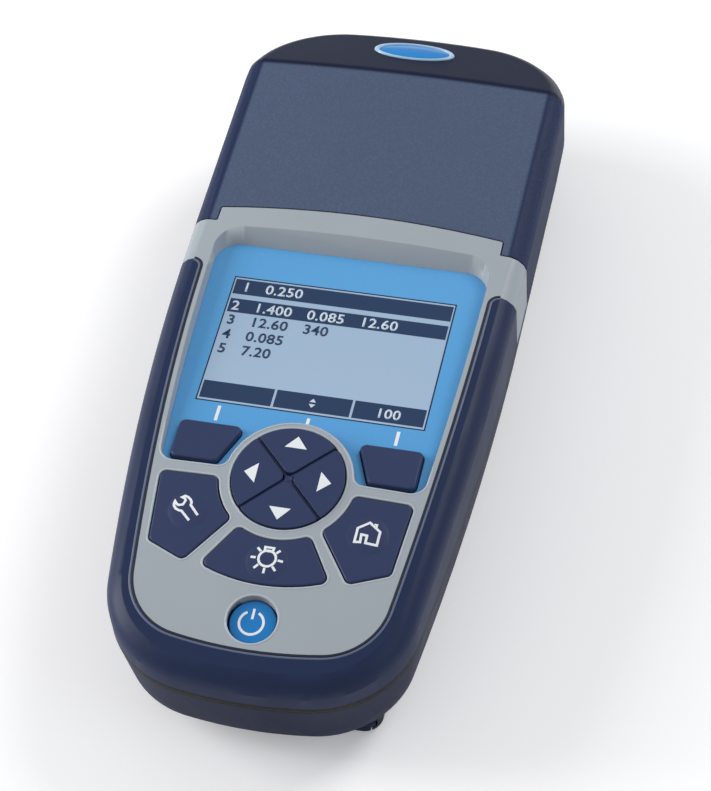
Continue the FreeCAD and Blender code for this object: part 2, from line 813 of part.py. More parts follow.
# The main board with its chips
board_top = "panel_height - board_drop"
board_bottom = "panel_height - board_drop - board_thickness"
board_plate = box("BoardPlate", "board_width", "board_top_end - board_low_end", "board_thickness",
                  y="(board_top_end + board_low_end) / 2", z=board_bottom)
board_tail = box("BoardTail", "board_tail_width", "board_low_end - board_tail_end + board_thickness",
                 "board_thickness", y="(board_low_end + board_tail_end + board_thickness) / 2", z=board_bottom)
board_blank = fuse("BoardBlank", [board_plate, board_tail])
board_holes = [post(f"BoardClearance{index}", "screw_radius", "3 * board_thickness",
                        ("-" if index % 2 else "") + "board_screw_across",
                        "board_screw_upper" if index < 2 else "board_screw_lower",
                        "panel_height - board_drop - 2 * board_thickness") for index in range(4)]
main_board = boolean("Cut", "main_board", board_blank, board_holes)


def group(name, solids):
    """Separate solids that share one node."""
    made = doc.addObject("Part::Compound", name)
    made.Links = solids
    made.Label = name
    doc.recompute()
    return made


chips = [box("ProcessorChip", "12", "12", "chip_height", "-6", "2", f"{board_bottom} - chip_height"),
         box("MemoryChip", "8", "6", "chip_height", "12", "-6", f"{board_bottom} - chip_height"),
         box("PowerChip", "6", "6", "chip_height", "-18", "-20", f"{board_bottom} - chip_height"),
         box("AmplifierChip", "5", "4", "chip_height", "2", "17", f"{board_bottom} - chip_height"),
         box("SensorConnector", "10", "4", "2 * chip_height", "-15", "19", f"{board_bottom} - 2 * chip_height")]
board_chips = group("board_chips", chips)
usb_outer = box("SocketOuter", "socket_width", "socket_length", "socket_height", "socket_across",
                "board_top_end", board_top)
usb_inner = box("SocketInner", "socket_width - 2 * socket_wall", "socket_length", "socket_height - 2 * socket_wall",
                "socket_across", "board_top_end + 2 * socket_wall", f"{board_top} + socket_wall")
usb_socket = boolean("Cut", "usb_socket", usb_outer, usb_inner)

# The keys and the flat switches under them
keys = []
for name, outline in SOFT_KEYS.items():
    keys.append((outline, key(name, outline, outline.grown(val("flange_width")), "flange_drop", "flange_thickness",
                              flat_top="panel_height + soft_key_height")))
for name, quarter in NAV_KEYS.items():
    outline = nav_key_outline(quarter, val("nav_radius"))
    flange = nav_key_outline(quarter, val("nav_radius") + val("flange_width"))
    keys.append((outline, key(name, outline, flange.grown(), "flange_drop", "flange_thickness", -val("nav_proud"))))
for name, outline in FACE_KEYS.items():
    keys.append((outline, key(name, outline, outline.grown(val("flange_width")), "flange_drop",
                              "flange_thickness", -val("key_proud"))))
power = RoundKey()
keys.append((power, key("key_power", power, power.grown(val("flange_width")), "power_flange_drop",
                        "power_flange_thickness", val("power_sink"))))
switches = []
for outline, body in keys:
    point = middle(outline)
    switches.append(box("Switch_" + body.Name, "switch_size", "switch_size", "switch_height", f"{point.x}",
                        f"{point.y}", board_top))
key_switches = group("key_switches", switches)

# The rear shell: a tub with drawn-in sides, a plinth that holds the battery bay and one under the sample well
rear_form = drafted("RearForm", body_outline().grown(), "rear_face_height", "parting_height", "rear_draft")
rear_face = min(rear_form.Shape.Faces, key=lambda face: face.CenterOfMass.z)
rounding(rear_form, face_edges(rear_form.Shape, rear_face), "rear_edge_round")
rear_cavity = drafted("RearCavity", body_outline().grown(-val("rim_width")), "rear_face_height + floor_wall",
                      "parting_height + wall", "rear_draft")


def plinth_outline(width, low, high):
    """A rectangle with rounded corners, as wide as the named size."""
    across = val(width) / 2
    return Outline([(-across, low), (across, low), (across, high), (-across, high)], rounds=val("plinth_corner"))


plinth_low, plinth_top = val("plinth_low_end"), val("plinth_top_end")
plinth = prism("Plinth", plinth_outline("plinth_width", plinth_low, plinth_top).grown(), "plinth_clearance",
               "rear_face_height + floor_wall - plinth_clearance")
upper_low, upper_top = val("upper_plinth_low_end"), val("upper_plinth_top_end")
upper_plinth = prism("UpperPlinth", plinth_outline("upper_plinth_width", upper_low, upper_top).grown(),
                     "plinth_clearance", "rear_face_height + floor_wall - plinth_clearance")
bay_middle = "(bay_low_end + bay_top_end) / 2"
bay_block = box("BayBlock", "bay_width + 2 * bay_wall", "bay_top_end - bay_low_end + 2 * bay_wall",
                "bay_roof + bay_wall - rear_face_height", y=bay_middle, z="rear_face_height")
bay_space = box("BaySpace", "bay_width", "bay_top_end - bay_low_end", "bay_roof", y=bay_middle)
door_outline = Outline([(-val("door_face_width") / 2, val("plinth_clearance")),
                        (val("door_face_width") / 2, val("plinth_clearance")),
                        (val("door_face_width") / 2, val("door_plate_floor")),
                        (val("door_plate_width") / 2, val("door_plate_floor")),
                        (val("door_plate_width") / 2, val("door_plate_top")),
                        (-val("door_plate_width") / 2, val("door_plate_top")),
                        (-val("door_plate_width") / 2, val("door_plate_floor")),
                        (-val("door_face_width") / 2, val("door_plate_floor"))])
channel = prism("DoorChannel", door_outline.grown(val("door_gap")), "-plinth_top_end - wall", "body_length", "XZ_Plane")
well_space = cylinder("WellSpace", "well_radius + well_wall + key_gap", "body_depth", y="well_place",
                      z="well_floor - well_floor_thickness - key_gap")


def upper_outline(inset, start):
    """The cap end of the outline, cut off square at a distance from the middle."""
    width = HALF_WIDTH - inset
    high = HALF_LENGTH - inset
    bow = upper_end_circle().grown(-inset)
    corner = val("upper_corner") - inset
    return Outline([(-width, start), (width, start), (width, high), (-width, high)], {2: bow}, [0, 0, corner, corner])


deck_edges = upper_outline(val("deck_inset"), val("cap_joint") - val("wall"))
deck_seat = prism("DeckSeat", deck_edges.grown(), "parting_height - deck_thickness", "2 * deck_thickness")
seal_outer = prism("SealOuter", body_outline().grown(-val("seal_inset")),
                   "parting_height - seal_depth", "seal_depth")
seal_reach = val("seal_inset") + val("seal_width")
seal_inner = prism("SealInner", body_outline().grown(-seal_reach), "parting_height - 2 * seal_depth",
                   "3 * seal_depth")
housing_seal = boolean("Cut", "housing_seal", seal_outer, seal_inner)
rear_posts = []
rear_holes = []
for side in ("-", ""):
    for end, head in (("upper", "rear_face_height + screw_head_height / 2"),
                      ("lower", "door_plate_top + 2 * door_gap")):
        across, along = f"{side}{end}_screw_across", f"{end}_screw_place"
        rear_posts.append(post(f"RearBoss{len(rear_posts)}", "boss_radius", "parting_height - rear_face_height",
                                   across, along, "rear_face_height"))
        rear_holes.append(post(f"RearHole{len(rear_holes)}", "screw_radius", "parting_height", across, along))
        rear_holes.append(post(f"RearHead{len(rear_holes)}", "screw_head_radius",
                                   f"{head} + screw_head_height", across, along))
        across, along = f"{side}deck_screw_across", f"deck_screw_{end}"
        rear_posts.append(post(f"DeckBoss{len(rear_posts)}", "boss_radius",
                                   "parting_height - deck_thickness - rear_face_height - floor_wall / 2", across,
                                   along, "rear_face_height + floor_wall / 2"))
        rear_holes.append(post(f"DeckHole{len(rear_holes)}", "screw_radius", "deck_screw_length",
                                   across, along, "parting_height - deck_screw_length"))
feet_seats = [cylinder(f"FootSeat{index}", "foot_radius", "plinth_clearance + foot_sink",
                       ("-" if index % 2 else "") + "foot_across",
                       "upper_foot_place" if index < 2 else "door_foot_place") for index in range(4)]
rear_tub = boolean("Cut", "RearTub", rear_form, rear_cavity)
rear_blank = fuse("RearBlank", [rear_tub, plinth, upper_plinth, bay_block] + rear_posts)
rear_shell = boolean("Cut", "rear_shell", rear_blank,
                     [bay_space, channel, well_space, deck_seat, seal_outer] + rear_holes + feet_seats[:2])

# The battery door, the cells and their contacts
door_plate = prism("DoorPlate", door_outline.grown(), "door_gap - plinth_top_end",
                   "plinth_top_end - door_gap - plinth_low_end", "XZ_Plane")
door_plan = prism("DoorPlan", plinth_outline("plinth_width", plinth_low, plinth_top + val("plinth_corner")).grown(),
                  "0", "door_plate_top + door_gap")
door_blank = boolean("Common", "DoorBlank", door_plate, door_plan)
battery_door = boolean("Cut", "battery_door", door_blank, feet_seats[2:])
foot_height = "plinth_clearance + foot_sink"
upper_feet = group("upper_feet", [cylinder(f"UpperFoot{index}", "foot_radius", foot_height,
                                           ("-" if index else "") + "foot_across", "upper_foot_place")
                                  for index in range(2)])
door_feet = group("door_feet", [cylinder(f"DoorFoot{index}", "foot_radius", foot_height,
                                         ("-" if index else "") + "foot_across", "door_foot_place")
                                for index in range(2)])
NUB_LENGTH = 1.2
contacts = []
for index in range(4):
    across = f"{index - 1.5} * cell_pitch"
    body = new_body(f"battery_cell_{index + 1}")
    end = "-(bay_top_end - contact_thickness - contact_gap)"
    pad(body, circle(val("cell_radius")), f"{end} + {NUB_LENGTH}", f"cell_length - {NUB_LENGTH}", "XZ_Plane")
    pad(body, circle(val("cell_radius") * 0.4), end, f"{NUB_LENGTH}", "XZ_Plane")
    place(body, x=across, z="cell_height")
    contacts.append(box(f"PositiveContact{index}", "contact_size", "contact_thickness", "contact_size", across,
                        "bay_top_end - contact_thickness / 2", "cell_height - contact_size / 2"))
    contacts.append(box(f"NegativeContact{index}", "contact_size", "contact_thickness", "contact_size", across,
                        "bay_low_end + contact_thickness / 2", "cell_height - contact_size / 2"))
    contacts.append(post(f"ContactSpring{index}", "contact_size / 3",
                             "bay_top_end - bay_low_end - 2 * contact_thickness - cell_length - 2 * contact_gap",
                             across, "bay_low_end + contact_thickness", "cell_height", "Y"))
battery_contacts = group("battery_contacts", contacts)

# The deck under the cap, with a collar that keeps light out and the hole for the sample well
deck_plate = prism("DeckPlate", deck_edges.grown(), "parting_height - deck_thickness", "deck_thickness")
collar_outer = prism("CollarOuter", upper_outline(val("deck_inset"), val("deck_start")).grown(), "parting_height",
                     "collar_height")
collar_inner = prism("CollarInner", upper_outline(val("deck_inset"), val("deck_start")).grown(-val("collar_width")),
                     "parting_height", "2 * collar_height")
collar = boolean("Cut", "Collar", collar_outer, collar_inner)
deck_blank = fuse("DeckBlank", [deck_plate, collar])
deck_hole = cylinder("DeckWellHole", "well_radius + well_wall", "body_depth", y="well_place")
deck_clearances = [post(f"DeckClearance{index}", "screw_radius", "body_depth",
                            ("-" if index % 2 else "") + "deck_screw_across",
                            "deck_screw_upper" if index < 2 else "deck_screw_lower") for index in range(4)]
cell_deck = boolean("Cut", "cell_deck", deck_blank, [deck_hole] + deck_clearances)

# The sample well and the optics on either side of it
well_bottom = "well_floor - well_floor_thickness"
deck_floor = "parting_height - deck_thickness"
well_tube = cylinder("WellTube", "well_radius + well_wall", f"parting_height + well_rim_rise - ({well_bottom})",
                     y="well_place", z=well_bottom)
well_collar = cylinder("WellCollar", "well_radius + well_wall + well_flange", "deck_thickness", y="well_place",
                       z=f"{deck_floor} - deck_thickness")
optic_bar = box("OpticBar", "2 * optic_reach", "optic_block", "optic_block", y="well_place",
                z="light_axis_height - optic_block / 2")
well_blank = fuse("WellBlank", [well_tube, well_collar, optic_bar])
well_bore = cylinder("WellBore", "well_radius", "body_depth", y="well_place", z="well_floor")
light_way = cylinder("LightWay", "light_bore", "2 * optic_reach", "-optic_reach", "well_place", "light_axis_height",
                     "X")
lamp_chamber = box("LampChamber", "lamp_length + lamp_radius", "optic_block - wall", "optic_block - wall",
                   "-optic_reach + (lamp_length + lamp_radius) / 2", "well_place",
                   "light_axis_height - (optic_block - wall) / 2")
sensor_chamber = cylinder("SensorChamber", "sensor_radius + key_gap / 2", "sensor_length + key_gap",
                          "optic_reach - sensor_length - key_gap", "well_place", "light_axis_height", "X")
cell_holder = boolean("Cut", "cell_holder", well_blank, [well_bore, light_way, lamp_chamber, sensor_chamber])
seal_disc = cylinder("WellSealDisc", "well_radius + well_wall + well_seal_width", "well_seal_width / 2",
                     y="well_place", z="parting_height")
seal_bore = cylinder("WellSealBore", "well_radius + well_wall", "2 * well_seal_width", y="well_place",
                     z="parting_height - well_seal_width / 2")
well_seal = boolean("Cut", "well_seal", seal_disc, seal_bore)
lens_start = "-optic_reach + lamp_length + lamp_radius"
lamp_lens = cylinder("lamp_lens", "lens_radius", "lens_thickness", f"{lens_start}", "well_place",
                     "light_axis_height", "X")
sensor_filter = cylinder("sensor_filter", "lens_radius", "lens_thickness",
                         "optic_reach - sensor_length - key_gap - lens_thickness", "well_place",
                         "light_axis_height", "X")
lamp_board = box("lamp_board", "optic_board_thickness", "optic_board_width", "optic_board_length",
                 "-optic_reach - optic_board_thickness / 2", "well_place",
                 "light_axis_height - optic_board_length / 2")
sensor_board = box("sensor_board", "optic_board_thickness", "optic_board_width", "optic_board_length",
                   "optic_reach + optic_board_thickness / 2", "well_place",
                   "light_axis_height - optic_board_length / 2")
lamps = [post(f"Lamp{index}", "lamp_radius", "lamp_length", "-optic_reach",
                  f"well_place + {1 if index % 2 else -1} * 1.2 * lamp_radius",
                  f"light_axis_height + {1 if index < 2 else -1} * 1.2 * lamp_radius", "X") for index in range(4)]
lamp_leds = group("lamp_leds", lamps)
light_sensor = cylinder("light_sensor", "sensor_radius", "sensor_length", "optic_reach - sensor_length",
                        "well_place", "light_axis_height", "X")


# Screws: a round head and a shank, the shank pointing up or down
def screw(name, x, y, seat, length, up):
    """A screw whose head touches the seat; the shank runs the given length beyond it."""
    head = post(name + "Head", "screw_head_radius", "screw_head_height", x, y,
                    f"{seat} - screw_head_height" if up else seat)
    shank = post(name + "Shank", "screw_radius", f"{length} + screw_head_height / 2", x, y,
                     f"{seat} - screw_head_height / 2" if up else f"{seat} - ({length})")
    return fuse(name, [head, shank])


housing_screw_list = []
board_screw_list = []
deck_screw_list = []
for side in ("-", ""):
    for end, head in (("upper", "rear_face_height + 1.5 * screw_head_height"),
                      ("lower", "door_plate_top + 2 * door_gap + screw_head_height")):
        count = len(housing_screw_list)
        housing_screw_list.append(screw(f"HousingScrew{count}", f"{side}{end}_screw_across", f"{end}_screw_place",
                                        head, "housing_screw_length", True))
        board_screw_list.append(screw(f"BoardScrew{count}", f"{side}board_screw_across", f"board_screw_{end}",
                                      board_bottom, "board_screw_length + board_thickness", True))
        deck_screw_list.append(screw(f"DeckScrew{count}", f"{side}deck_screw_across", f"deck_screw_{end}",
                                     "parting_height", "deck_screw_length", False))
housing_screws = group("housing_screws", housing_screw_list)
board_screws = group("board_screws", board_screw_list)
deck_screws = group("deck_screws", deck_screw_list)

doc.recompute()

PARTS = [front_shell, grip_band, rear_shell, housing_seal, display_panel, display_window, lcd_glass, lcd_module,
         main_board, board_chips, key_switches, usb_socket, board_screws, housing_screws, cell_deck, deck_screws,
         cell_holder, well_seal, lamp_board, lamp_leds, lamp_lens, sensor_board, light_sensor, sensor_filter,
         battery_contacts, upper_feet, cap, cap_badge, battery_door, door_feet]
PARTS += [doc.getObject(f"battery_cell_{index + 1}") for index in range(4)]
PARTS += [body for outline, body in keys]

for item in doc.Objects:
    if "Invalid" in item.State or "Error" in item.State:
        raise RuntimeError(f"{item.Label} did not build: {item.State}")

os.makedirs("parts", exist_ok=True)
for part in PARTS:
    shape = part.Shape
    if shape.isNull() or not shape.isValid() or not shape.Solids:
        raise RuntimeError(part.Label + " has no valid solid")
    shape.exportStep(f"parts/{part.Label}.step")
    print(part.Label, len(shape.Solids), "solids,", round(shape.Volume), "cubic millimetres")
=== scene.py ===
# %% [markdown]
# A hand-held colorimeter lies on a table: a grey shell with a sunken blue display panel, a dark rubber band round
# its lower half, a pebbled cap over the sample well, and ten keys. The exact solids come from the CAD frame. This
# lesson gives them finishes, rounds their edges, and adds what is printed or moulded on them.

# %% Load the frame
import math
from contextlib import contextmanager

import bmesh
import bpy
from mathutils import Matrix, Vector
from mathutils.geometry import intersect_point_line


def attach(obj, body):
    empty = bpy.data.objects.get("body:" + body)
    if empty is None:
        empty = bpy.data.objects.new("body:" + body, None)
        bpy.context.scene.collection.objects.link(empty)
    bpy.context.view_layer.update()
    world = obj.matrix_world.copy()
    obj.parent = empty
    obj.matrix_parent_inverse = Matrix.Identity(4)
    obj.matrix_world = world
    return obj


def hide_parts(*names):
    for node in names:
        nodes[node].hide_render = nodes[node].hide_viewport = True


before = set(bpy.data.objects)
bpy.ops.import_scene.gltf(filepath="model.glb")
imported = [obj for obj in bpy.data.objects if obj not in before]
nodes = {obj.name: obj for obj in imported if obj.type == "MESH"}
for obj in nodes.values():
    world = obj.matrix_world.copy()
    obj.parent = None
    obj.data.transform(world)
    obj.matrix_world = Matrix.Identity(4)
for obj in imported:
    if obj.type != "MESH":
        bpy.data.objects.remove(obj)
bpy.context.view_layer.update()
MM = 0.001
print("loaded", len(nodes), "nodes")

# %% [markdown]
# The front face is not flat. Above the display it is a piece of a wide tube, and below it is a piece of a ball of
# the same radius, so one formula gives its height. Printed symbols follow it, because each of their points is put
# on this surface.

# %% The face of the instrument as a formula
CROWN = 650
BEND_START = 2
TOP = 48
BROW = {"start": 91, "angle": math.radians(20), "round": 6}


def face_height(x, y, sink=0):
    """The height of the front face, in millimetres, for a place in millimetres."""
    along = min(0, y - BEND_START)
    return TOP - CROWN + math.sqrt((CROWN - sink) ** 2 - x ** 2 - along ** 2)


def face_normal(x, y, z):
    """The direction that the front face looks in, at a place in millimetres."""
    upright = Vector((x, min(0, y - BEND_START), z - TOP + CROWN)).normalized()
    turn_start = BROW["start"] - BROW["round"] * math.tan(BROW["angle"] / 2)
    lean = math.asin(min(math.sin(BROW["angle"]), max(0, (y - turn_start) / BROW["round"])))
    return Vector((upright.x * math.cos(lean), upright.y + math.sin(lean), upright.z * math.cos(lean))).normalized()


def face_distance(x, y, z):
    """How far a place stands above the front face; the brow is left to the caller."""
    return math.sqrt(x ** 2 + min(0, y - BEND_START) ** 2 + (z - TOP + CROWN) ** 2) - CROWN


print("height of the face at the power key", round(face_height(0, -98.2), 2))

# %% [markdown]
# Every operator works on what is selected, and the frame arrives with all its nodes selected. So each step starts
# by selecting one piece alone. These few helpers are used by every piece below.

# %% Selecting and finishing
# How much of a face's normal points up: less than WALL is an upright wall, more than LEVEL is a top, and less than
# SLOPE is any wall, also a leaning one.
WALL, SLOPE, LEVEL = 0.4, 0.85, 0.9


def only(piece):
    """Selects one piece and nothing else."""
    bpy.ops.object.select_all(action="DESELECT")
    piece.hide_set(False)
    piece.select_set(True)
    bpy.context.view_layer.objects.active = piece
    return piece


@contextmanager
def editing(piece):
    """Edit mode, with the whole of one piece selected."""
    only(piece)
    bpy.ops.object.mode_set(mode="EDIT")
    bpy.ops.mesh.select_all(action="SELECT")
    yield
    bpy.ops.object.mode_set(mode="OBJECT")


def from_points(name, corners, edges, faces):
    """A new piece from its corners, in metres, and the edges and faces between them."""
    mesh = bpy.data.meshes.new(name)
    mesh.from_pydata(corners, edges, faces)
    piece = bpy.data.objects.new(name, mesh)
    bpy.context.scene.collection.objects.link(piece)
    return piece


def modify(piece, kind, **settings):
    """Adds a modifier and applies it at once."""
    only(piece)
    made = piece.modifiers.new(kind.title(), kind)
    for name, value in settings.items():
        setattr(made, name, value)
    bpy.ops.object.modifier_apply(modifier=made.name)


def settle(piece, name=None):
    """Puts a piece's place into its mesh, so that its object sits at the origin."""
    only(piece)
    bpy.ops.object.transform_apply(location=True, rotation=True, scale=True)
    if name:
        piece.name = name
        piece.data.name = name
    return piece


def smooth(piece, angle=35, soft=None):
    """Soft shading across gentle edges, and across those between two walls that the caller names, flat faces kept."""
    only(piece)
    bpy.ops.object.shade_smooth_by_angle(angle=math.radians(angle))
    if soft:
        shape = bmesh.new()
        shape.from_mesh(piece.data)
        for edge in shape.edges:
            middle = (edge.verts[0].co + edge.verts[1].co) / 2 / MM
            walls = all(face.normal.z < SLOPE for face in edge.link_faces)
            if walls and len(edge.link_faces) == 2 and edge.calc_face_angle() < math.radians(65) and soft(*middle):
                edge.smooth = True
        shape.to_mesh(piece.data)
        shape.free()
    modify(piece, "WEIGHTED_NORMAL", keep_sharp=True, weight=50 if soft else 80)


def join(pieces, name):
    """Makes several pieces one, with a name of its own."""
    bpy.ops.object.select_all(action="DESELECT")
    for piece in pieces:
        piece.select_set(True)
    bpy.context.view_layer.objects.active = pieces[0]
    bpy.ops.object.join()
    return settle(pieces[0], name)


# %% [markdown]
# A finish is a small set of shader nodes. Written out node by node it is hard to read, so one class wraps a socket
# and lets it be added and multiplied like a number; every sum adds its own Math node. What varies over the surface
# goes to colour, roughness and bump only.

# %% Shader values that can be added and multiplied


class Value:
    """A number that varies over a surface."""

    def __init__(self, finish, socket):
        self.finish = finish
        self.socket = socket

    def math(self, operation, other=None, swapped=False):
        values = [self, other] if not swapped else [other, self]
        node = self.finish.tree.nodes.new("ShaderNodeMath")
        node.operation = operation
        for index, value in enumerate(values):
            if value is not None:
                self.finish.feed(node.inputs[index], value)
        return Value(self.finish, node.outputs[0])

    def __add__(self, other):
        return self.math("ADD", other)

    def __radd__(self, other):
        return self.math("ADD", other, True)

    def __sub__(self, other):
        return self.math("SUBTRACT", other)

    def __rsub__(self, other):
        return self.math("SUBTRACT", other, True)

    def __mul__(self, other):
        return self.math("MULTIPLY", other)

    def __abs__(self):
        return self.math("ABSOLUTE")

    def rise(self, low, high):
        """Goes smoothly from 0 to 1 between two values."""
        settings = {"interpolation_type": "SMOOTHSTEP"}
        return self.finish.add("ShaderNodeMapRange", settings, {"Value": self, "From Min": low, "From Max": high})


def screen_colour(red, green, blue):
    """A colour as seen on a screen, from 0 to 255, turned into the light that the shader wants."""
    def linear(part):
        part = part / 255
        return part / 12.92 if part <= 0.04045 else ((part + 0.055) / 1.055) ** 2.4
    return (linear(red), linear(green), linear(blue), 1)


class Finish:
    """A material, and the nodes that make it."""

    def __init__(self, name, colour, roughness=0.5, metallic=0, coat=0, edge=0.35 * MM, shine=0.3):
        self.material = bpy.data.materials.new("finish_" + name)
        self.material.use_nodes = True
        self.tree = self.material.node_tree
        self.shader = self.tree.nodes["Principled BSDF"]
        self.shader.inputs["Base Color"].default_value = colour
        self.shader.inputs["Roughness"].default_value = roughness
        self.shader.inputs["Metallic"].default_value = metallic
        self.shader.inputs["Coat Weight"].default_value = coat
        self.shader.inputs["Coat Roughness"].default_value = 0.08
        self.shader.inputs["Specular IOR Level"].default_value = 0.5 if metallic else shine
        self.colour = colour
        self.roughness = roughness
        self.place = self.add("ShaderNodeTexCoord", {}, {}, "Object")
        self.edge = None
        if edge:
            self.edge = self.add("ShaderNodeBevel", {"samples": 6}, {"Radius": edge}, "Normal")
            self.feed(self.shader.inputs["Normal"], self.edge)

    def feed(self, socket, value):
        """Links a varying value to a socket, or sets a plain one on it."""
        if isinstance(value, Value):
            self.tree.links.new(value.socket, socket)
        else:
            socket.default_value = value

    def add(self, kind, settings, inputs, output=0):
        """Adds a node and returns one of its outputs."""
        node = self.tree.nodes.new(kind)
        for name, value in settings.items():
            setattr(node, name, value)
        for name, value in inputs.items():
            self.feed(node.inputs[name], value)
        return Value(self, node.outputs[output])

    def axes(self):
        """The place on the object along X, Y and Z, in metres."""
        node = self.tree.nodes.new("ShaderNodeSeparateXYZ")
        self.tree.links.new(self.place.socket, node.inputs[0])
        return [Value(self, socket) for socket in node.outputs]

    def noise(self, size, detail=2.0):
        """Cloudy noise whose patches are about the given size, in metres."""
        inputs = {"Vector": self.place, "Scale": 1 / size, "Detail": detail, "Roughness": 0.5}
        return self.add("ShaderNodeTexNoise", {}, inputs)

    def cells(self, size):
        """Rounded pebbles of the given size, in metres."""
        inputs = {"Vector": self.place, "Scale": 1 / size, "Smoothness": 0.6}
        return self.add("ShaderNodeTexVoronoi", {"feature": "SMOOTH_F1"}, inputs, "Distance")

    def bump(self, height, depth):
        """Raises the surface by a varying height, in units of a depth in metres."""
        inputs = {"Height": height, "Distance": depth, "Strength": 1.0}
        if self.edge:
            inputs["Normal"] = self.edge
        self.feed(self.shader.inputs["Normal"], self.add("ShaderNodeBump", {}, inputs))

    def tint(self, mask, colour):
        """Blends another colour in where the mask is 1."""
        node = self.tree.nodes.new("ShaderNodeMix")
        node.data_type = "RGBA"
        self.feed(node.inputs["Factor"], mask)
        self.feed(node.inputs[6], self.colour)
        self.feed(node.inputs[7], colour)
        self.colour = Value(self, node.outputs[2])
        self.feed(self.shader.inputs["Base Color"], self.colour)

    def rough(self, value):
        self.feed(self.shader.inputs["Roughness"], value)


# %% [markdown]
# The plastics. Moulded plastic is never one flat colour: it has a fine spark-eroded grain, and broad clouds where
# gloss and shade change a little. The cap's flat face has a pebbled grain, and its brow is smooth and darker, so a
# mask on the place decides between them. Another way is to split the cap into several pieces, but then their edges
# would show. The lowest edges of the front shell and the band, and the top of the rear shell, lie in the shadow gap
# between the housing halves, and a mask on the height paints that gap's shade on them.

# %% Finishes of the housing
# Heights between which the painted shade of the gap fades out, and places where the cap's flat face meets its brow
# and sides.
SHELL_GAP_SHADE = (27.55 * MM, 27.75 * MM)
GAP_SHADE_BLUR = 0.15 * MM
BROW_EDGE = (89 * MM, 90.5 * MM)
CAP_SIDE_EDGE = (42.2 * MM, 43.4 * MM)


def grain(finish, size, depth, vary=0.08):
    """The fine grain of moulded plastic, with a little change of gloss; returns the broad clouds."""
    fine = finish.noise(size, 3.0)
    broad = finish.noise(25 * MM)
    finish.rough(finish.roughness + (broad - 0.5) * vary * 2 + (fine - 0.5) * vary)
    finish.bump(fine, depth)
    return broad


def darker(colour, share):
    """The same colour with a share of its light."""
    return tuple(part * share for part in colour[:3]) + (1,)


def make_shell():
    finish = Finish("shell_grey", screen_colour(163, 171, 178), 0.4)
    broad = grain(finish, 0.35 * MM, 0.012 * MM)
    finish.tint(broad.rise(0.3, 0.8) * 0.25, darker(finish.colour, 0.86))
    height = finish.axes()[2]
    # Painted shade: below these heights the shell lies in the gap between the housing halves.
    finish.tint(1 - height.rise(*SHELL_GAP_SHADE), screen_colour(20, 24, 34))
    return finish.material


def make_cap():
    slate, navy = screen_colour(82, 96, 123), screen_colour(12, 23, 52)
    finish = Finish("cap_slate", slate, 0.46, shine=0.18)
    across, along, _ = finish.axes()
    brow, side = along.rise(*BROW_EDGE), abs(across).rise(*CAP_SIDE_EDGE)
    flat = 1 - brow
    pebbles = finish.cells(0.8 * MM)
    fine = finish.noise(0.3 * MM, 3.0)
    broad = finish.noise(30 * MM)
    # Painted shade: the crevices between the pebbles, where the bump sinks, are painted darker.
    finish.tint(pebbles.rise(0.1, 0.6) * 0.4, darker(slate, 0.6))
    finish.tint(broad.rise(0.35, 0.75) * 0.3, darker(slate, 0.82))
    finish.tint(side, screen_colour(34, 47, 80))
    finish.tint(brow, navy)
    finish.rough(0.36 + flat * (0.12 + pebbles * 0.1) + (fine - 0.5) * 0.08)
    finish.bump(flat * (1 - pebbles) + fine * 0.15, 0.11 * MM)
    return finish.material


def make_rubber(name, colour, roughness, shade_low, shade_high):
    """Soft black-blue plastic, with the shade of the housing's gap painted between two heights."""
    finish = Finish(name, colour, roughness, shine=0.2)
    broad = grain(finish, 0.28 * MM, 0.02 * MM)
    finish.tint(broad.rise(0.4, 0.8) * 0.35, darker(colour, 0.75))
    height = finish.axes()[2]
    # Painted shade of the gap between the housing halves, between the two heights.
    above_low = height.rise(shade_low - GAP_SHADE_BLUR, shade_low + GAP_SHADE_BLUR)
    below_high = 1 - height.rise(shade_high - GAP_SHADE_BLUR, shade_high + GAP_SHADE_BLUR)
    finish.tint(above_low * below_high, screen_colour(6, 8, 14))
    return finish.material


def make_panel():
    finish = Finish("panel_blue", screen_colour(82, 158, 216), 0.4, coat=0.1)
    fine = finish.noise(0.18 * MM)
    along = finish.axes()[1]
    # Painted light: the panel is painted lighter towards its upper end.
    finish.tint(along.rise(-60 * MM, 24 * MM) * 0.18, screen_colour(108, 176, 228))
    finish.tint(fine.rise(0.45, 0.7) * 0.04, screen_colour(255, 255, 255))
    finish.bump(fine, 0.008 * MM)
    return finish.material


shell_grey = make_shell()
cap_slate = make_cap()
band_rubber = make_rubber("band_rubber", screen_colour(34, 46, 78), 0.42, 20 * MM, 28.5 * MM)
rear_plastic = make_rubber("rear_plastic", screen_colour(19, 29, 62), 0.5, 26.0 * MM, 30 * MM)
panel_blue = make_panel()
print("finishes so far:", [material.name for material in bpy.data.materials][:8])

# %% [markdown]
# The rest of the finishes: soft-touch keys, white print, glossy badge, metal, boards, rubber feet and clear plastic.
# Each gets grain, streaks or haze at its real size.

# %% Finishes of the small parts


def make_simple(name, colour, roughness, size, depth, vary=0.08, coat=0.0, edge=0.3 * MM):
    """Plastic, rubber or print with a grain of the given size and depth."""
    finish = Finish(name, colour, roughness, coat=coat, edge=edge)
    broad = grain(finish, size, depth, vary)
    finish.tint(broad.rise(0.35, 0.8) * 0.3, darker(colour, 0.8))
    return finish.material


def make_brushed(name, colour):
    """Metal with fine drawn streaks."""
    finish = Finish(name, colour, 0.32, metallic=1.0, edge=0.15 * MM)
    stretched = finish.add("ShaderNodeMapping", {}, {"Vector": finish.place, "Scale": (1, 12, 12)})
    streaks = finish.add("ShaderNodeTexNoise", {}, {"Vector": stretched, "Scale": 300.0, "Detail": 4.0})
    finish.rough(finish.roughness + (streaks - 0.5) * 0.3)
    finish.tint(streaks.rise(0.4, 0.7) * 0.25, darker(colour, 0.7))
    finish.bump(streaks, 0.01 * MM)
    return finish.material


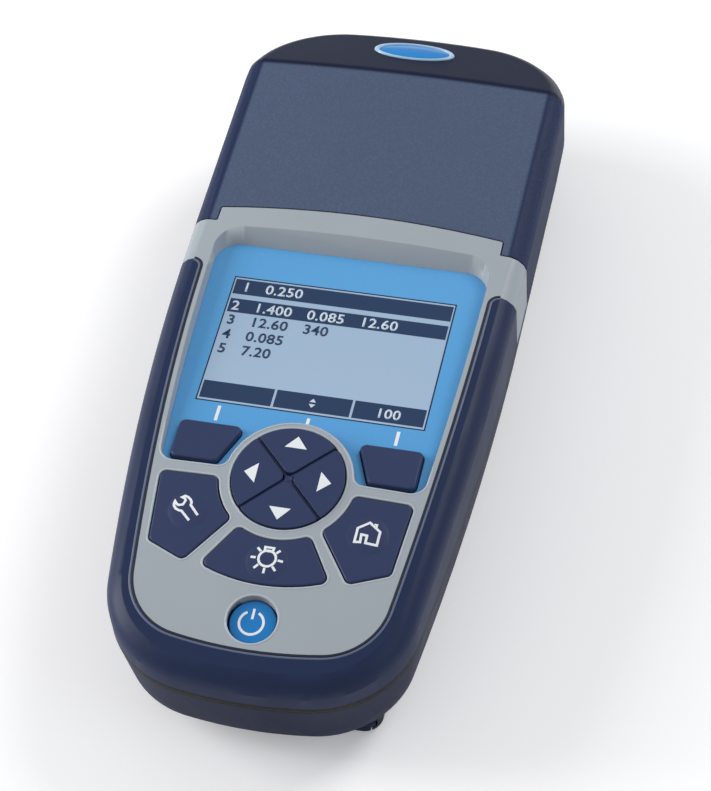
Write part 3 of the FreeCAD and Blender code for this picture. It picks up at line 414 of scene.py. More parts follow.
def make_clear(name, colour, see_through=0.75):
    """Clear plastic: mostly see-through, with a glossy skin."""
    finish = Finish(name, colour, 0.04, edge=0)
    haze = finish.noise(6 * MM)
    finish.rough(finish.roughness + haze * 0.04)
    finish.shader.inputs["Alpha"].default_value = 1 - see_through
    return finish.material


key_navy = make_simple("key_navy", screen_colour(46, 58, 94), 0.44, 0.22 * MM, 0.014 * MM)
print_white = make_simple("print_white", screen_colour(236, 240, 244), 0.5, 0.2 * MM, 0.004 * MM, edge=0)
power_gloss = make_simple("power_gloss", screen_colour(22, 124, 196), 0.2, 0.3 * MM, 0.002 * MM, 0.04, coat=0.4)
badge_gloss = make_simple("badge_gloss", screen_colour(24, 132, 206), 0.22, 0.3 * MM, 0.002 * MM, 0.04, coat=0.35)
badge_rim = make_simple("badge_rim", screen_colour(176, 208, 232), 0.3, 0.3 * MM, 0.002 * MM, 0.04, coat=0.3)
steel = make_brushed("steel", screen_colour(190, 192, 196))
deck_black = make_simple("deck_black", screen_colour(34, 35, 38), 0.55, 0.3 * MM, 0.015 * MM)
rubber_black = make_simple("rubber_black", screen_colour(26, 26, 28), 0.75, 0.4 * MM, 0.03 * MM)
board_green = make_simple("board_green", screen_colour(18, 92, 52), 0.35, 0.5 * MM, 0.005 * MM, coat=0.3)
chip_black = make_simple("chip_black", screen_colour(28, 28, 30), 0.6, 0.2 * MM, 0.01 * MM)
switch_white = make_simple("switch_white", screen_colour(206, 206, 200), 0.5, 0.3 * MM, 0.01 * MM)
cell_wrap = make_simple("cell_wrap", screen_colour(84, 88, 96), 0.3, 0.4 * MM, 0.004 * MM, coat=0.4)
clear_lens = make_clear("clear_lens", screen_colour(235, 240, 245))
filter_glass = make_clear("filter_glass", screen_colour(110, 170, 230), see_through=0.5)
line_dark = make_simple("line_dark", screen_colour(30, 44, 66), 0.4, 0.2 * MM, 0.002 * MM, edge=0)
# Painted shade: the strip that stands for the groove beside the band is painted dark.
groove_shade = make_simple("groove_shade", screen_colour(32, 38, 54), 0.6, 0.2 * MM, 0.004 * MM, edge=0)
# Painted highlight: the shell's grey, painted paler for the lips round the keys.
lip_highlight = make_simple("lip_highlight", screen_colour(180, 187, 195), 0.32, 0.2 * MM, 0.004 * MM, edge=0)
# Painted highlight: the band's rubber, painted pale for the bead.
bead_highlight = make_simple("bead_highlight", screen_colour(96, 108, 134), 0.35, 0.2 * MM, 0.004 * MM, edge=0)
print("finishes in all:", sum(material.name.startswith("finish_") for material in bpy.data.materials))

# %% [markdown]
# The CAD nodes that are carried over as they are get the finish of their kind in one table. A node's mesh is never
# changed, only its material.

# %% Finishes of the carried-over nodes
CARRIED = {
    panel_blue: ["display_panel"],
    deck_black: ["cell_deck", "cell_holder", "lcd_module"],
    rubber_black: ["housing_seal", "well_seal", "upper_feet", "door_feet"],
    board_green: ["main_board", "lamp_board", "sensor_board"],
    chip_black: ["board_chips"],
    switch_white: ["key_switches"],
    steel: ["usb_socket", "light_sensor", "board_screws", "housing_screws", "deck_screws", "battery_contacts"],
    clear_lens: ["lamp_leds", "lamp_lens"],
    filter_glass: ["sensor_filter", "lcd_glass"],
    cell_wrap: [f"battery_cell_{index}" for index in range(1, 5)],
    rear_plastic: ["battery_door"],
}
for material, names in CARRIED.items():
    for name in names:
        mesh = nodes[name].data
        mesh.materials.clear()
        mesh.materials.append(material)
print("carried over:", sum(len(names) for names in CARRIED.values()), "nodes")

# %% [markdown]
# The housing's big moulded pieces need soft light over their rounded edges. The CAD mesh comes as loose triangles
# that shade flat, so a copy is merged, its flat areas are cleaned, and its normals are weighted by face area. The
# copy then stands for the node.

# %% Merged copies of the moulded pieces
# How near a point must lie to the face's formula to be on it, and where the brow's own curve starts, in millimetres.
ON_FACE = 0.04
TRUE_BROW = 89.9


def true_normals(piece, drops):
    """Shades the curved faces that lie a given drop under the formula's face, so that long triangles don't show."""
    mesh = piece.data
    normals = [corner.vector.copy() for corner in mesh.corner_normals]
    for polygon in mesh.polygons:
        for loop in polygon.loop_indices:
            x, y, z = mesh.vertices[mesh.loops[loop].vertex_index].co / MM
            exact = face_normal(x, y, z)
            on_face = min(abs(face_distance(x, y, z) + drop) for drop in drops) < ON_FACE or y > TRUE_BROW
            if on_face and polygon.normal.angle(exact) < math.radians(9):
                normals[loop] = exact
    mesh.normals_split_custom_set(normals)


def rim_weights(piece, keep):
    """Marks the sharp edges between the front face and a wall, where the caller wants them, and counts them."""
    mesh = piece.data
    count = 0
    shape = bmesh.new()
    shape.from_mesh(mesh)
    layer = shape.edges.layers.float.new("bevel_weight_edge")
    for edge in shape.edges:
        if len(edge.link_faces) != 2:
            continue
        lifts = sorted(abs(face.normal.z) for face in edge.link_faces)
        middle = (edge.verts[0].co + edge.verts[1].co) / 2 / MM
        if lifts[0] < WALL and lifts[1] > LEVEL and keep(*middle):
            edge[layer] = 1
            count += 1
    shape.to_mesh(mesh)
    shape.free()
    return count


def merged(node, name):
    """A copy of a node's mesh with its loose triangles joined and its flat areas made whole."""
    piece = bpy.data.objects.new(name, nodes[node].data.copy())
    bpy.context.scene.collection.objects.link(piece)
    with editing(piece):
        bpy.ops.mesh.remove_doubles(threshold=0.004 * MM)
        bpy.ops.mesh.dissolve_limited(angle_limit=math.radians(0.4))
    return piece


# The record's material slot that each main finish belongs to.
SLOT = {shell_grey: "shell_grey", cap_slate: "cap_blue", band_rubber: "band_rubber", rear_plastic: "rear_grey",
        key_navy: "key_navy", power_gloss: "power_blue", badge_gloss: "badge_blue", bead_highlight: "band_rubber",
        groove_shade: "band_rubber", lip_highlight: "shell_grey"}


def dress(piece, material, body):
    """Gives a piece its finish and sets it on a body."""
    piece.data.materials.clear()
    piece.data.materials.append(material)
    material in SLOT
    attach(piece, body)
    return piece


def moulded(node, name, material, body, rim=None, rim_width=0.4, drops=(0,), soft=None):
    """A merged copy of a node, with smooth shading and, if asked, a rounded rim."""
    piece = merged(node, name)
    if rim:
        print(name, "rim edges:", rim_weights(piece, rim))
        modify(piece, "BEVEL", width=rim_width * MM, segments=3, limit_method="WEIGHT", use_clamp_overlap=True)
        with editing(piece):
            bpy.ops.mesh.remove_doubles(threshold=0.003 * MM)
            bpy.ops.mesh.dissolve_degenerate(threshold=0.003 * MM)
    smooth(piece, 35, soft)
    true_normals(piece, drops)
    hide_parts(node)
    return dress(piece, material, body)


def on_front(x, y, z):
    """Whether a place lies on the front face, the brow included."""
    return z > 34 and abs(face_distance(x, y, z)) < 0.05 or y > 89


def in_recess(x, y, z):
    """Whether a place lies on the walls round the display panel."""
    return z > 42.5 and -36 < y < 30 and abs(x) < 42


def on_shell_rim(x, y, z):
    """Whether a place lies on a rim of the front shell that is rounded; the recess's upper rim stays as it is."""
    recess_top = 10 < y < 24 and abs(x) < 42
    return on_front(x, y, z) and not recess_top


front_cover = moulded("front_shell", "front_cover", shell_grey, "housing", rim=on_shell_rim, rim_width=0.35,
                      soft=in_recess)
moulded("grip_band", "grip_skin", band_rubber, "housing", drops=(0, 2.5))
moulded("rear_shell", "rear_cover", rear_plastic, "housing")
moulded("cap", "cap_cover", cap_slate, "cap_hood", rim=on_front, rim_width=0.3)
print("front cover has", len(front_cover.data.polygons), "faces")

# %% [markdown]
# Where the band meets the grey face there is a narrow groove. It is not cut; a thin dark strip lying on the face
# paints its shade. Beside it the band ends in a thin raised bead that catches the light, and the bead is painted pale
# as a highlight. Both follow the band's inner edge, so that edge is found on the band itself: it is where the face of
# the band meets an upright wall. A short profile is then carried along it.

# %% Groove and bead along the band


def face_edges(node, keep):
    """The edges where a node's face meets an upright wall, and for each end the direction out of the node."""
    piece = merged(node, "edge_finder")
    shape = bmesh.new()
    shape.from_mesh(piece.data)
    edges, outward = [], {}
    for edge in shape.edges:
        if len(edge.link_faces) != 2:
            continue
        wall, face = sorted(edge.link_faces, key=lambda side: abs(side.normal.z))
        middle = (edge.verts[0].co + edge.verts[1].co) / 2 / MM
        if abs(wall.normal.z) < WALL and face.normal.z > LEVEL and keep(*middle):
            ends = [vertex.co / MM for vertex in edge.verts]
            edges.append([tuple(round(part, 3) for part in end) for end in ends])
            for end in edges[-1]:
                flat = Vector((wall.normal.x, wall.normal.y)).normalized()
                outward[end] = outward.get(end, Vector((0, 0))) + flat
    shape.free()
    bpy.data.objects.remove(piece)
    return edges, {end: flat.normalized() for end, flat in outward.items()}


def along_edge(name, found, profile, material):
    """Carries a profile, of steps out of the edge and heights, along the edges that were found."""
    edges, outward = found
    corners, faces, place = [], [], {}
    for end, flat in outward.items():
        place[end] = len(corners)
        for step, height in profile:
            x, y = end[0] + flat.x * step, end[1] + flat.y * step
            corners.append((x * MM, y * MM, (face_height(x, y) + height) * MM))
    for first, second in edges:
        for index in range(len(profile) - 1):
            a, b = place[first] + index, place[second] + index
            faces.append((a, b, b + 1, a + 1))
    piece = from_points(name, corners, [], faces)
    with editing(piece):
        bpy.ops.mesh.normals_make_consistent(inside=False)
    if piece.data.polygons[0].normal.z < 0:
        piece.data.flip_normals()
    smooth(piece, 60)
    modify(piece, "SOLIDIFY", thickness=0.05 * MM, offset=-1.0)
    return dress(piece, material, "housing")


# Each profile is a list of steps out of the band's edge and heights over the face, in millimetres.
GROOVE = [(-0.1, 0.03), (0.65, 0.03)]
BEAD = [(-0.72, -0.02), (-0.62, 0.12), (-0.4, 0.19), (-0.18, 0.12), (-0.08, -0.02)]
border = face_edges("grip_band", on_front)
print("edges beside the grey:", len(border[0]))
# Painted shade: a flat dark strip stands in for the groove's shade.
along_edge("band_groove_shade", border, GROOVE, groove_shade)
# Painted highlight: the bead is painted pale.
along_edge("band_bead", border, BEAD, bead_highlight)

# %% [markdown]
# The openings for the round set of direction keys, the three keys below it and the power key have a thin raised lip,
# which is painted paler than the shell as a highlight, so it shows as a pale line round each key. It is carried along
# the edges of the front shell in the same way.

# %% Lips of the key openings


def from_band(x, y):
    """How far a place is from the band's inner edge, seen from above."""
    spot, distances = Vector((x, y)), []
    for first, second in border[0]:
        start, end = Vector(first[:2]), Vector(second[:2])
        share = min(1, max(0, intersect_point_line(spot, start, end)[1]))
        distances.append((spot - start.lerp(end, share)).length)
    return min(distances)


def round_keys(x, y, z):
    """Whether a place lies on the face beside a key's opening, and not beside the band."""
    return on_front(x, y, z) and y < -40 and from_band(x, y) > 2


LIP = [(-0.6, -0.01), (-0.5, 0.07), (-0.32, 0.11), (-0.12, 0.07), (-0.03, -0.03)]
openings = face_edges("front_shell", round_keys)
print("edges round the keys:", len(openings[0]))
# Painted highlight: the lips are painted paler than the shell.
along_edge("opening_lips", openings, LIP, lip_highlight)

# %% [markdown]
# Keys are moulded in soft plastic, and their top edges are rounded by half a millimetre, so each catches a thin line
# of light. The two soft keys stand high and have a wider round.

# %% Keys
KEYS = ["key_soft_left", "key_soft_right", "key_up", "key_left", "key_down", "key_right", "key_settings", "key_home",
        "key_light"]
KEY_FLOOR = 37.5
KEY_RIM, SOFT_KEY_RIM = 0.5, 0.75
# How far the tops stand above the face, and how far the power key lies below it.
KEY_PROUD, NAV_PROUD, POWER_SINK = 0.25, 0.5, 1.6


def on_key_top(x, y, z):
    return z > KEY_FLOOR


for name in KEYS:
    moulded(name, name + "_top", key_navy, name + "_body", rim=on_key_top,
            rim_width=SOFT_KEY_RIM if "soft" in name else KEY_RIM, drops=(-KEY_PROUD, -NAV_PROUD))
moulded("key_power", "key_power_top", power_gloss, "key_power_body", rim=on_key_top, rim_width=KEY_RIM,
        drops=(POWER_SINK,))
print("keys:", len(KEYS) + 1)

# %% [markdown]
# The four direction keys are one round pad cut by two slits. The slits are shallow, so a thin cross lies in them, a
# little below the keys' tops, with a low round hub in the middle. It stays with the housing while the keys go down
# beside it.

# %% Cross in the slits of the direction keys
NAV = (0, -57.2)
WEB = {"length": 29.4, "width": 0.7, "depth": 1.6, "sunk": 0.9}
HUB = {"radius": 1.36, "half": 0.7, "sunk": 0.6}
for index, turn in enumerate((45, 135)):
    bpy.ops.mesh.primitive_cube_add(size=1)
    web = bpy.context.object
    web.scale = (WEB["length"] * MM, WEB["width"] * MM, WEB["depth"] * MM)
    web.rotation_euler = (0, 0, math.radians(turn))
    bpy.ops.object.transform_apply(location=False, rotation=True, scale=True)
    with editing(web):
        bpy.ops.mesh.subdivide(number_cuts=6)
    for vertex in web.data.vertices:
        x, y = vertex.co.x / MM + NAV[0], vertex.co.y / MM + NAV[1]
        vertex.co = Vector((x, y, face_height(x, y) - WEB["sunk"] + vertex.co.z / MM)) * MM
    web.name = f"nav_web_{index + 1}"
    dress(web, key_navy, "housing")
bpy.ops.mesh.primitive_uv_sphere_add(segments=32, ring_count=16, radius=1)
hub = bpy.context.object
hub.scale = (HUB["radius"] * MM, HUB["radius"] * MM, HUB["half"] * MM)
hub.location = Vector((*NAV, face_height(*NAV) - HUB["sunk"])) * MM
settle(hub, "nav_hub")
smooth(hub, 60)
dress(hub, key_navy, "housing")
print("the hub's top lies", round(HUB["sunk"] - HUB["half"] + NAV_PROUD, 2), "mm under the direction keys' tops")

# %% [markdown]
# The symbols are printed in white. Each is built flat from a few primitives, and then every point is lifted onto
# the key's own surface, a few hundredths of a millimetre proud, so the print bends with the key.

# %% Tools for flat print


def flat_shape(corners):
    """A flat polygon through a few corners, in millimetres."""
    return from_points("flat", [(x * MM, y * MM, 0) for x, y in corners], [], [tuple(range(len(corners)))])


def stroke(start, end, width):
    """A straight printed line with square ends."""
    (x1, y1), (x2, y2) = start, end
    length = math.hypot(x2 - x1, y2 - y1)
    bpy.ops.mesh.primitive_plane_add(size=1, location=((x1 + x2) / 2 * MM, (y1 + y2) / 2 * MM, 0),
                                     rotation=(0, 0, math.atan2(y2 - y1, x2 - x1)))
    piece = bpy.context.object
    piece.scale = (length * MM, width * MM, 1)
    return settle(piece)


def line(points, width, closed=False):
    """A printed line of even width through several points, with mitred corners."""
    spots = [Vector(point) for point in points]
    last = len(spots) - 1
    corners = []
    for index, spot in enumerate(spots):
        runs = []
        if closed or index > 0:
            runs.append((spot - spots[index - 1]).normalized())
        if closed or index < last:
            runs.append((spots[(index + 1) % len(spots)] - spot).normalized())
        middle = (runs[0] + runs[-1]).normalized()
        side = Vector((-middle.y, middle.x)) * (width / 2 / max(0.5, middle.dot(runs[0])))
        corners += [spot + side, spot - side]
    faces = [(2 * index, 2 * index + 1, 2 * index + 3, 2 * index + 2) for index in range(last)]
    if closed:
        faces.append((2 * last, 2 * last + 1, 1, 0))
    return from_points("line", [(corner.x * MM, corner.y * MM, 0) for corner in corners], [], faces)


def ring(centre, radius, width, start=0.0, sweep=360.0, parts=40):
    """A printed ring, or a part of one, made by spinning a short line about its centre."""
    inner, outer = (radius - width / 2) * MM, (radius + width / 2) * MM
    turn = math.radians(start)
    heading = Vector((math.cos(turn), math.sin(turn), 0))
    middle = Vector((centre[0] * MM, centre[1] * MM, 0))
    piece = from_points("ring", [middle + heading * inner, middle + heading * outer], [(0, 1)], [])
    with editing(piece):
        bpy.ops.mesh.spin(steps=parts, angle=-math.radians(sweep), center=middle, axis=(0, 0, 1))
        bpy.ops.mesh.select_all(action="SELECT")
        bpy.ops.mesh.remove_doubles(threshold=0.001 * MM)
    return piece


def printed(pieces, name, body, height, material=None, thickness=0.05, lift=0.01):
    """Joins flat shapes, puts them on a surface and gives the print its thickness."""
    piece = join(pieces, name)
    with editing(piece):
        bpy.ops.mesh.remove_doubles(threshold=0.01 * MM)
        bpy.ops.mesh.dissolve_degenerate(threshold=0.005 * MM)
        bpy.ops.mesh.normals_make_consistent(inside=False)
    for vertex in piece.data.vertices:
        vertex.co.z = (height(vertex.co.x / MM, vertex.co.y / MM) + lift) * MM
    if piece.data.polygons[0].normal.z < 0:
        piece.data.flip_normals()
    modify(piece, "SOLIDIFY", thickness=thickness * MM, offset=1.0)
    return dress(piece, material or print_white, body)


def on_nav(x, y):
    return face_height(x, y, -NAV_PROUD)


def on_key(x, y):
    return face_height(x, y, -KEY_PROUD)


# %% [markdown]
# The direction keys carry solid triangles that point outwards; each is set on its own key and moves with it.

# %% Triangles on the direction keys
TRIANGLES = {
    "key_up": [(-3.0, -48.2), (3.0, -48.2), (0, -44.6)],
    "key_down": [(2.9, -66.35), (-2.9, -66.35), (0, -70.0)],
    "key_left": [(-8.5, -60.2), (-8.5, -54.2), (-11.85, -57.2)],
    "key_right": [(8.3, -54.2), (8.3, -60.2), (11.6, -57.2)],
}
for name, corners in TRIANGLES.items():
    printed([flat_shape(corners)], name + "_mark", name + "_body", on_nav)
print("triangles:", len(TRIANGLES))

# %% [markdown]
# Under each of the three other symbols the key swells into a very low dome, which shows where to press. Each dome is
# a ball pressed flat, turned so that it lies on the key, and sunk until only its cap stands out.

# %% Low domes on the face keys
DOME = {"radius": 6.1, "half": 0.7, "sunk": 0.32}
DOMES = {"key_settings": (-23.7, -70.4), "key_home": (24.1, -70.4), "key_light": (0.1, -81.9)}


def on_dome(centre):
    """The height of a key's surface near the middle of its dome."""
    def height(x, y):
        share = math.hypot(x - centre[0], y - centre[1]) / DOME["radius"]
        swell = DOME["half"] * math.sqrt(max(0, 1 - share ** 2)) - DOME["sunk"]
        return on_key(x, y) + max(0, swell)
    return height


for name, (x, y) in DOMES.items():
    bpy.ops.mesh.primitive_uv_sphere_add(segments=48, ring_count=24, radius=1)
    swell = bpy.context.object
    swell.scale = (DOME["radius"] * MM, DOME["radius"] * MM, DOME["half"] * MM)
    upright = face_normal(x, y, on_key(x, y))
    swell.rotation_euler = upright.to_track_quat("Z", "Y").to_euler()
    swell.location = Vector((x, y, on_key(x, y))) * MM - upright * DOME["sunk"] * MM
    settle(swell, name + "_dome")
    smooth(swell, 60)
    dress(swell, key_navy, name + "_body")
print("each dome stands", round(DOME["half"] - DOME["sunk"], 2), "mm high")

# %% [markdown]
# The light key shows a small lamp with rays, the home key a house and the settings key a spanner, all drawn with a
# line about 0.65 mm wide.

# %% Symbols on the three face keys
LINE = 0.66
RAYS = [((-4.3, -81.5), (-2.9, -81.5)), ((-3.0, -78.6), (-2.0, -79.6)), ((3.0, -78.6), (2.1, -79.6)),
        ((2.9, -81.5), (4.3, -81.6)), ((1.9, -83.4), (2.9, -84.5)), ((0, -84.1), (0, -85.6)),
        ((-1.8, -83.4), (-2.8, -84.5))]
HOUSE = [(21.1, -72.8), (21.2, -68.8), (24.0, -66.7), (27.1, -68.9), (27.0, -72.8), (24.0, -72.7), (24.0, -70.6),
         (22.5, -70.5), (22.6, -72.7)]
SPANNER = [(-22.7, -73.7), (-25.3, -71.3), (-26.1, -71.2), (-27.0, -70.8), (-27.7, -70.0), (-27.9, -69.2),
           (-27.8, -68.5), (-27.1, -69.4), (-26.5, -69.7), (-25.4, -69.4), (-25.0, -68.1), (-25.4, -67.5),
           (-26.2, -67.2), (-25.5, -66.7), (-24.6, -67.0), (-23.7, -67.7), (-23.3, -68.5), (-23.3, -69.3),
           (-20.8, -71.9)]
SOCKET = [(-1.1, -78.2), (1.2, -78.2), (1.1, -79.3), (-1.0, -79.3)]
CHIMNEY = [(25.2, -67.0), (25.9, -67.0), (25.9, -67.9)]
light_shapes = [ring((0.1, -81.4), 2.25, LINE), line(SOCKET, LINE, True)]
light_shapes += [stroke(inner, outer, LINE) for inner, outer in RAYS]
home_shapes = [line(HOUSE, LINE, True), line(CHIMNEY, LINE * 0.8)]
MARKS = {"key_light": light_shapes, "key_home": home_shapes, "key_settings": [line(SPANNER, LINE)]}
for name, shapes in MARKS.items():
    printed(shapes, name + "_mark", name + "_body", on_dome(DOMES[name]), lift=0.03)
print("faces in each symbol:", {name: len(bpy.data.objects[name + "_mark"].data.polygons) for name in MARKS})

# %% [markdown]
# The power key is a glossy disc sunk in a round well, with the common sign for power: a broken ring and a bar.

# %% Power symbol
POWER_LINE = 0.68


def on_power(x, y):
    return face_height(x, y, POWER_SINK)


power_shapes = [ring((-0.35, -98.3), 3.15, POWER_LINE, start=120, sweep=305, parts=44),
                stroke((-0.35, -97.3), (-0.35, -94.4), POWER_LINE)]
power_mark = printed(power_shapes, "key_power_mark", "key_power_body", on_power)
print("the sign for power has", len(power_mark.data.polygons), "faces")

# %% [markdown]
# The display is read through a clear window, level with the blue panel. What matters is the picture: a pale frame,
# a dark heading bar, a marked row, and a bar with three fields for the soft keys. The picture is drawn on top of the
# window, so the window is one pale sheet with thin bars on it. Words are left out, and rows of plain numbers take
# their place.

# %% Display
SCREEN = {"half": 31.6, "top": 9.9, "low": -34.2}
SCREEN_HEIGHT = 42.9
WINDOW = 1.2
THIN = 0.02
EDGE_LINE = 0.35


def make_lcd():
    """Liquid crystal: pale blue, a little darker towards the upper end, with very faint lines of picture points."""
    finish = Finish("lcd_pale", screen_colour(164, 188, 212), 0.3, coat=0.2, edge=0)
    along = finish.axes()[1]
    lines = finish.add("ShaderNodeTexWave", {"wave_type": "BANDS", "bands_direction": "Y"},
                       {"Vector": finish.place, "Scale": 600.0, "Distortion": 0.0}, "Fac")
    finish.tint(along.rise(-36 * MM, 12 * MM) * 0.35, screen_colour(150, 176, 204))
    finish.tint(lines.rise(0.6, 1.0) * 0.05, screen_colour(60, 90, 120))
    return finish.material


def at_screen(x, y):
    return SCREEN_HEIGHT


def on_display(pieces, name, material, lift=0.01):
    """Prints flat shapes thinly on the display's face."""
    printed(pieces, name, "housing", at_screen, material, THIN, lift)


def bar(left, right, top, low):
    """A flat rectangle between two places across and two along."""
    return flat_shape([(left, low), (right, low), (right, top), (left, top)])


lcd_pale = make_lcd()
SLOT[lcd_pale] = "lcd_grey"
bar_navy = make_simple("bar_navy", screen_colour(38, 60, 94), 0.4, 0.2 * MM, 0.002 * MM, edge=0)
frame_pale = make_simple("frame_pale", screen_colour(206, 220, 232), 0.4, 0.2 * MM, 0.002 * MM, edge=0)

half, top, low = SCREEN["half"], SCREEN["top"], SCREEN["low"]
bpy.ops.mesh.primitive_cube_add(size=1, location=(0, (top + low) / 2 * MM, (SCREEN_HEIGHT - WINDOW / 2) * MM))
display_face = bpy.context.object
display_face.scale = (2 * half * MM, (top - low) * MM, WINDOW * MM)
settle(display_face, "display_face")
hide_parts("display_window")
dress(display_face, lcd_pale, "housing")

side, upper, lower = half - EDGE_LINE / 2, top - EDGE_LINE / 2, low + EDGE_LINE / 2
border_line = line([(-side, upper), (side, upper), (side, lower), (-side, lower)], EDGE_LINE, True)
on_display([border_line], "display_edge", line_dark)
bars = [bar(-30.9, 30.9, 9.0, 3.7), bar(-30.8, 30.8, 2.0, -2.85),
        bar(-30.8, -11.0, -27.3, -33.2), bar(-10.3, 10.6, -27.3, -33.2), bar(11.3, 30.8, -27.3, -33.2)]
on_display(bars, "display_bars", bar_navy)
print("the display is", 2 * half, "mm wide and", round(top - low, 1), "mm high")

# %% [markdown]
# Text objects are curves. Each row of numbers is typed, turned into a mesh, and laid on the display.

# %% Numbers on the display
ROW_SIZE, FIELD_SIZE = 4.6, 4.4
NUMBER_LIFT = 0.03


def digits(text, x, y, size):
    """A flat row of numbers, a little bold and spread, whose lower left corner is at x and y."""
    bpy.ops.object.text_add(location=(x * MM, y * MM, 0))
    piece = bpy.context.object
    piece.data.body = text
    piece.data.size = size * MM
    piece.data.space_character = 1.05
    piece.data.resolution_u = 4
    piece.data.offset = 0.0175 * size * MM
    only(piece)
    bpy.ops.object.convert(target="MESH")
    return settle(piece)


rows = [("1   0.250", -28.5, 4.9, frame_pale), ("2   1.400   0.085   12.60", -30.0, -2.0, frame_pale),
        ("3   12.60   340", -30.0, -7.1, bar_navy), ("4   0.085", -30.0, -12.2, bar_navy),
        ("5   7.20", -30.0, -17.3, bar_navy)]
for index, (text, x, y, material) in enumerate(rows):
    on_display([digits(text, x, y, ROW_SIZE)], f"display_row_{index + 1}", material, NUMBER_LIFT)
on_display([digits("100", 17.5, -31.9, FIELD_SIZE)], "display_field_right", frame_pale, NUMBER_LIFT)
arrows = [flat_shape([(-0.9, -29.9), (0.9, -29.9), (0, -28.7)]),
          flat_shape([(0.9, -30.6), (-0.9, -30.6), (0, -31.8)])]
on_display(arrows, "display_field_arrows", frame_pale, NUMBER_LIFT)
print("rows of numbers:", len(rows))

# %% [markdown]
# Short white lines on the blue panel lead from the display's lower fields to the keys under them.

# %% Leader lines on the panel
leaders = [bar(-24.85, -23.95, -35.3, -40.3), bar(-0.2, 0.7, -35.4, -38.0), bar(24.45, 25.35, -35.6, -40.3)]
on_display(leaders, "panel_leaders", print_white)
print("leader lines:", len(leaders))

# %% [markdown]
# The badge is a glossy domed oval in a thin pale rim, with nothing on it. A sphere is pressed flat for the dome and
# a thin torus makes the rim; both are then tilted onto the brow.

# %% Badge on the brow
BADGE_PLACE = 104
BADGE = Vector((0, BADGE_PLACE, TOP - (BADGE_PLACE - BROW["start"]) * math.tan(BROW["angle"]))) * MM
TILT = -BROW["angle"]
BADGE_DOME = (11.1 * MM, 4.55 * MM, 0.9 * MM)
BADGE_RIM = (11.4 * MM, 4.85 * MM, 9 * MM)


def oval_on_brow(piece, name, material, lift):
    """Tilts a flat oval onto the brow, sunk or lifted by some millimetres."""
    piece.rotation_euler = (TILT, 0, 0)
    piece.location = BADGE + Matrix.Rotation(TILT, 3, "X") @ Vector((0, 0, lift * MM))
    settle(piece, name)
    smooth(piece, 50)
    return dress(piece, material, "cap_hood")


bpy.ops.mesh.primitive_uv_sphere_add(segments=64, ring_count=24, radius=1)
dome = bpy.context.object
dome.scale = BADGE_DOME
bpy.ops.object.transform_apply(location=False, rotation=False, scale=True)
badge_dome = oval_on_brow(dome, "badge_dome", badge_gloss, -0.25)
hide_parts("cap_badge")
bpy.ops.mesh.primitive_torus_add(major_segments=72, minor_segments=12, major_radius=1, minor_radius=0.07)
rim = bpy.context.object
rim.scale = BADGE_RIM
bpy.ops.object.transform_apply(location=False, rotation=False, scale=True)
oval_on_brow(rim, "badge_edge", badge_rim, -0.1)
print("the badge sits at", [round(part / MM, 1) for part in BADGE], "mm")

# %% [markdown]
# The stage is a plain pale floor that keeps the soft shadow, under broad, even light. The camera sees the floor and
# the world as white, while the light on the instrument stays at a plain level. Far from the lamps the floor would
# turn grey, so what the camera sees of it gets lighter with the distance.

# %% Floor, world and lamps
bpy.ops.mesh.primitive_plane_add(size=6, location=(0, 0, 0))
floor = bpy.context.object
floor.name = "floor"
floor_finish = bpy.data.materials.new("floor_pale")
floor_finish.use_nodes = True
tree = floor_finish.node_tree
base = tree.nodes["Principled BSDF"]
base.inputs["Base Color"].default_value = (0.93, 0.93, 0.94, 1)
base.inputs["Roughness"].default_value = 0.9
base.inputs["Specular IOR Level"].default_value = 0.1
base.inputs["Emission Color"].default_value = (1, 1, 1, 1)
seen = tree.nodes.new("ShaderNodeLightPath")
place = tree.nodes.new("ShaderNodeTexCoord")
away = tree.nodes.new("ShaderNodeVectorMath")
away.operation = "LENGTH"
tree.links.new(place.outputs["Object"], away.inputs[0])
fade = tree.nodes.new("ShaderNodeMapRange")
for name, value in {"From Min": 0.5, "From Max": 2.2, "To Min": 0.2, "To Max": 0.7}.items():
    fade.inputs[name].default_value = value
tree.links.new(away.outputs["Value"], fade.inputs["Value"])
lift = tree.nodes.new("ShaderNodeMath")
lift.operation = "MULTIPLY"
tree.links.new(seen.outputs["Is Camera Ray"], lift.inputs[0])
tree.links.new(fade.outputs[0], lift.inputs[1])
tree.links.new(lift.outputs[0], base.inputs["Emission Strength"])
floor.data.materials.append(floor_finish)

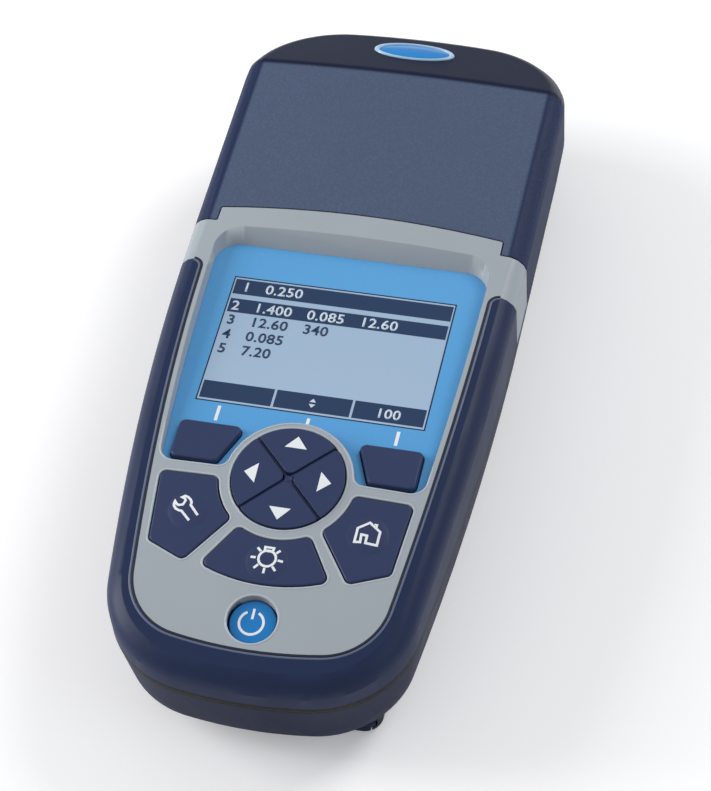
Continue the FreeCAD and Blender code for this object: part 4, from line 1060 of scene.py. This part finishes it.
world = bpy.data.worlds.new("studio")
bpy.context.scene.world = world
world.use_nodes = True
tree = world.node_tree
back = tree.nodes["Background"]
back.inputs["Color"].default_value = (1, 1, 1, 1)
path = tree.nodes.new("ShaderNodeLightPath")
level = tree.nodes.new("ShaderNodeMapRange")
level.inputs["To Min"].default_value = 0.42
level.inputs["To Max"].default_value = 1.0
tree.links.new(path.outputs["Is Camera Ray"], level.inputs["Value"])
tree.links.new(level.outputs[0], back.inputs["Strength"])


def lamp(name, place, size, power, tint=(1, 1, 1)):
    """A soft square lamp, with its size in metres and its power in watts, that points at the instrument."""
    light = bpy.data.lights.new(name, "AREA")
    light.size = size
    light.energy = power
    light.color = tint
    item = bpy.data.objects.new(name, light)
    bpy.context.scene.collection.objects.link(item)
    item.location = place
    item.rotation_euler = (Vector((0, 0, 0.03)) - Vector(place)).to_track_quat("-Z", "Y").to_euler()


lamp("lamp_left", (-1.3, 0.0, 0.8), 0.7, 10.5)
lamp("lamp_low_left", (-1.5, -0.2, 0.35), 0.5, 8)
lamp("lamp_back", (0.9, 1.0, 1.2), 0.7, 12)
lamp("lamp_right", (1.2, -0.3, 0.8), 0.7, 2, (0.75, 0.86, 1))
print("lamps:", len(bpy.data.lights))

# %% [markdown]
# The camera stands where the photograph was taken from: a little to the right, well in front and above, turned so
# that the instrument leans to the right in the picture. The three directions are those of a measured fit.

# %% Camera
RIGHT = Vector((0.974036, 0.217572, -0.062577))
DOWN = Vector((0.134494, -0.778452, -0.613126))
FORWARD = Vector((-0.182112, 0.588791, -0.787503))
PLACE = Vector((134.55, -425.6, 577.8))
FOCAL_POINTS, PICTURE_POINTS, SENSOR = 2531.75, 711, 36
camera_data = bpy.data.cameras.new("camera")
camera = bpy.data.objects.new("camera", camera_data)
bpy.context.scene.collection.objects.link(camera)
turn = Matrix((RIGHT, -DOWN, -FORWARD)).transposed()
camera.matrix_world = Matrix.Translation(PLACE * MM) @ turn.to_4x4()
camera_data.sensor_fit = "HORIZONTAL"
camera_data.sensor_width = SENSOR
camera_data.lens = FOCAL_POINTS / PICTURE_POINTS * SENSOR
camera_data.clip_end = 20
bpy.context.scene.camera = camera
bpy.context.scene.view_settings.view_transform = "Standard"
print("the camera's lens is", round(camera_data.lens, 1), "mm")
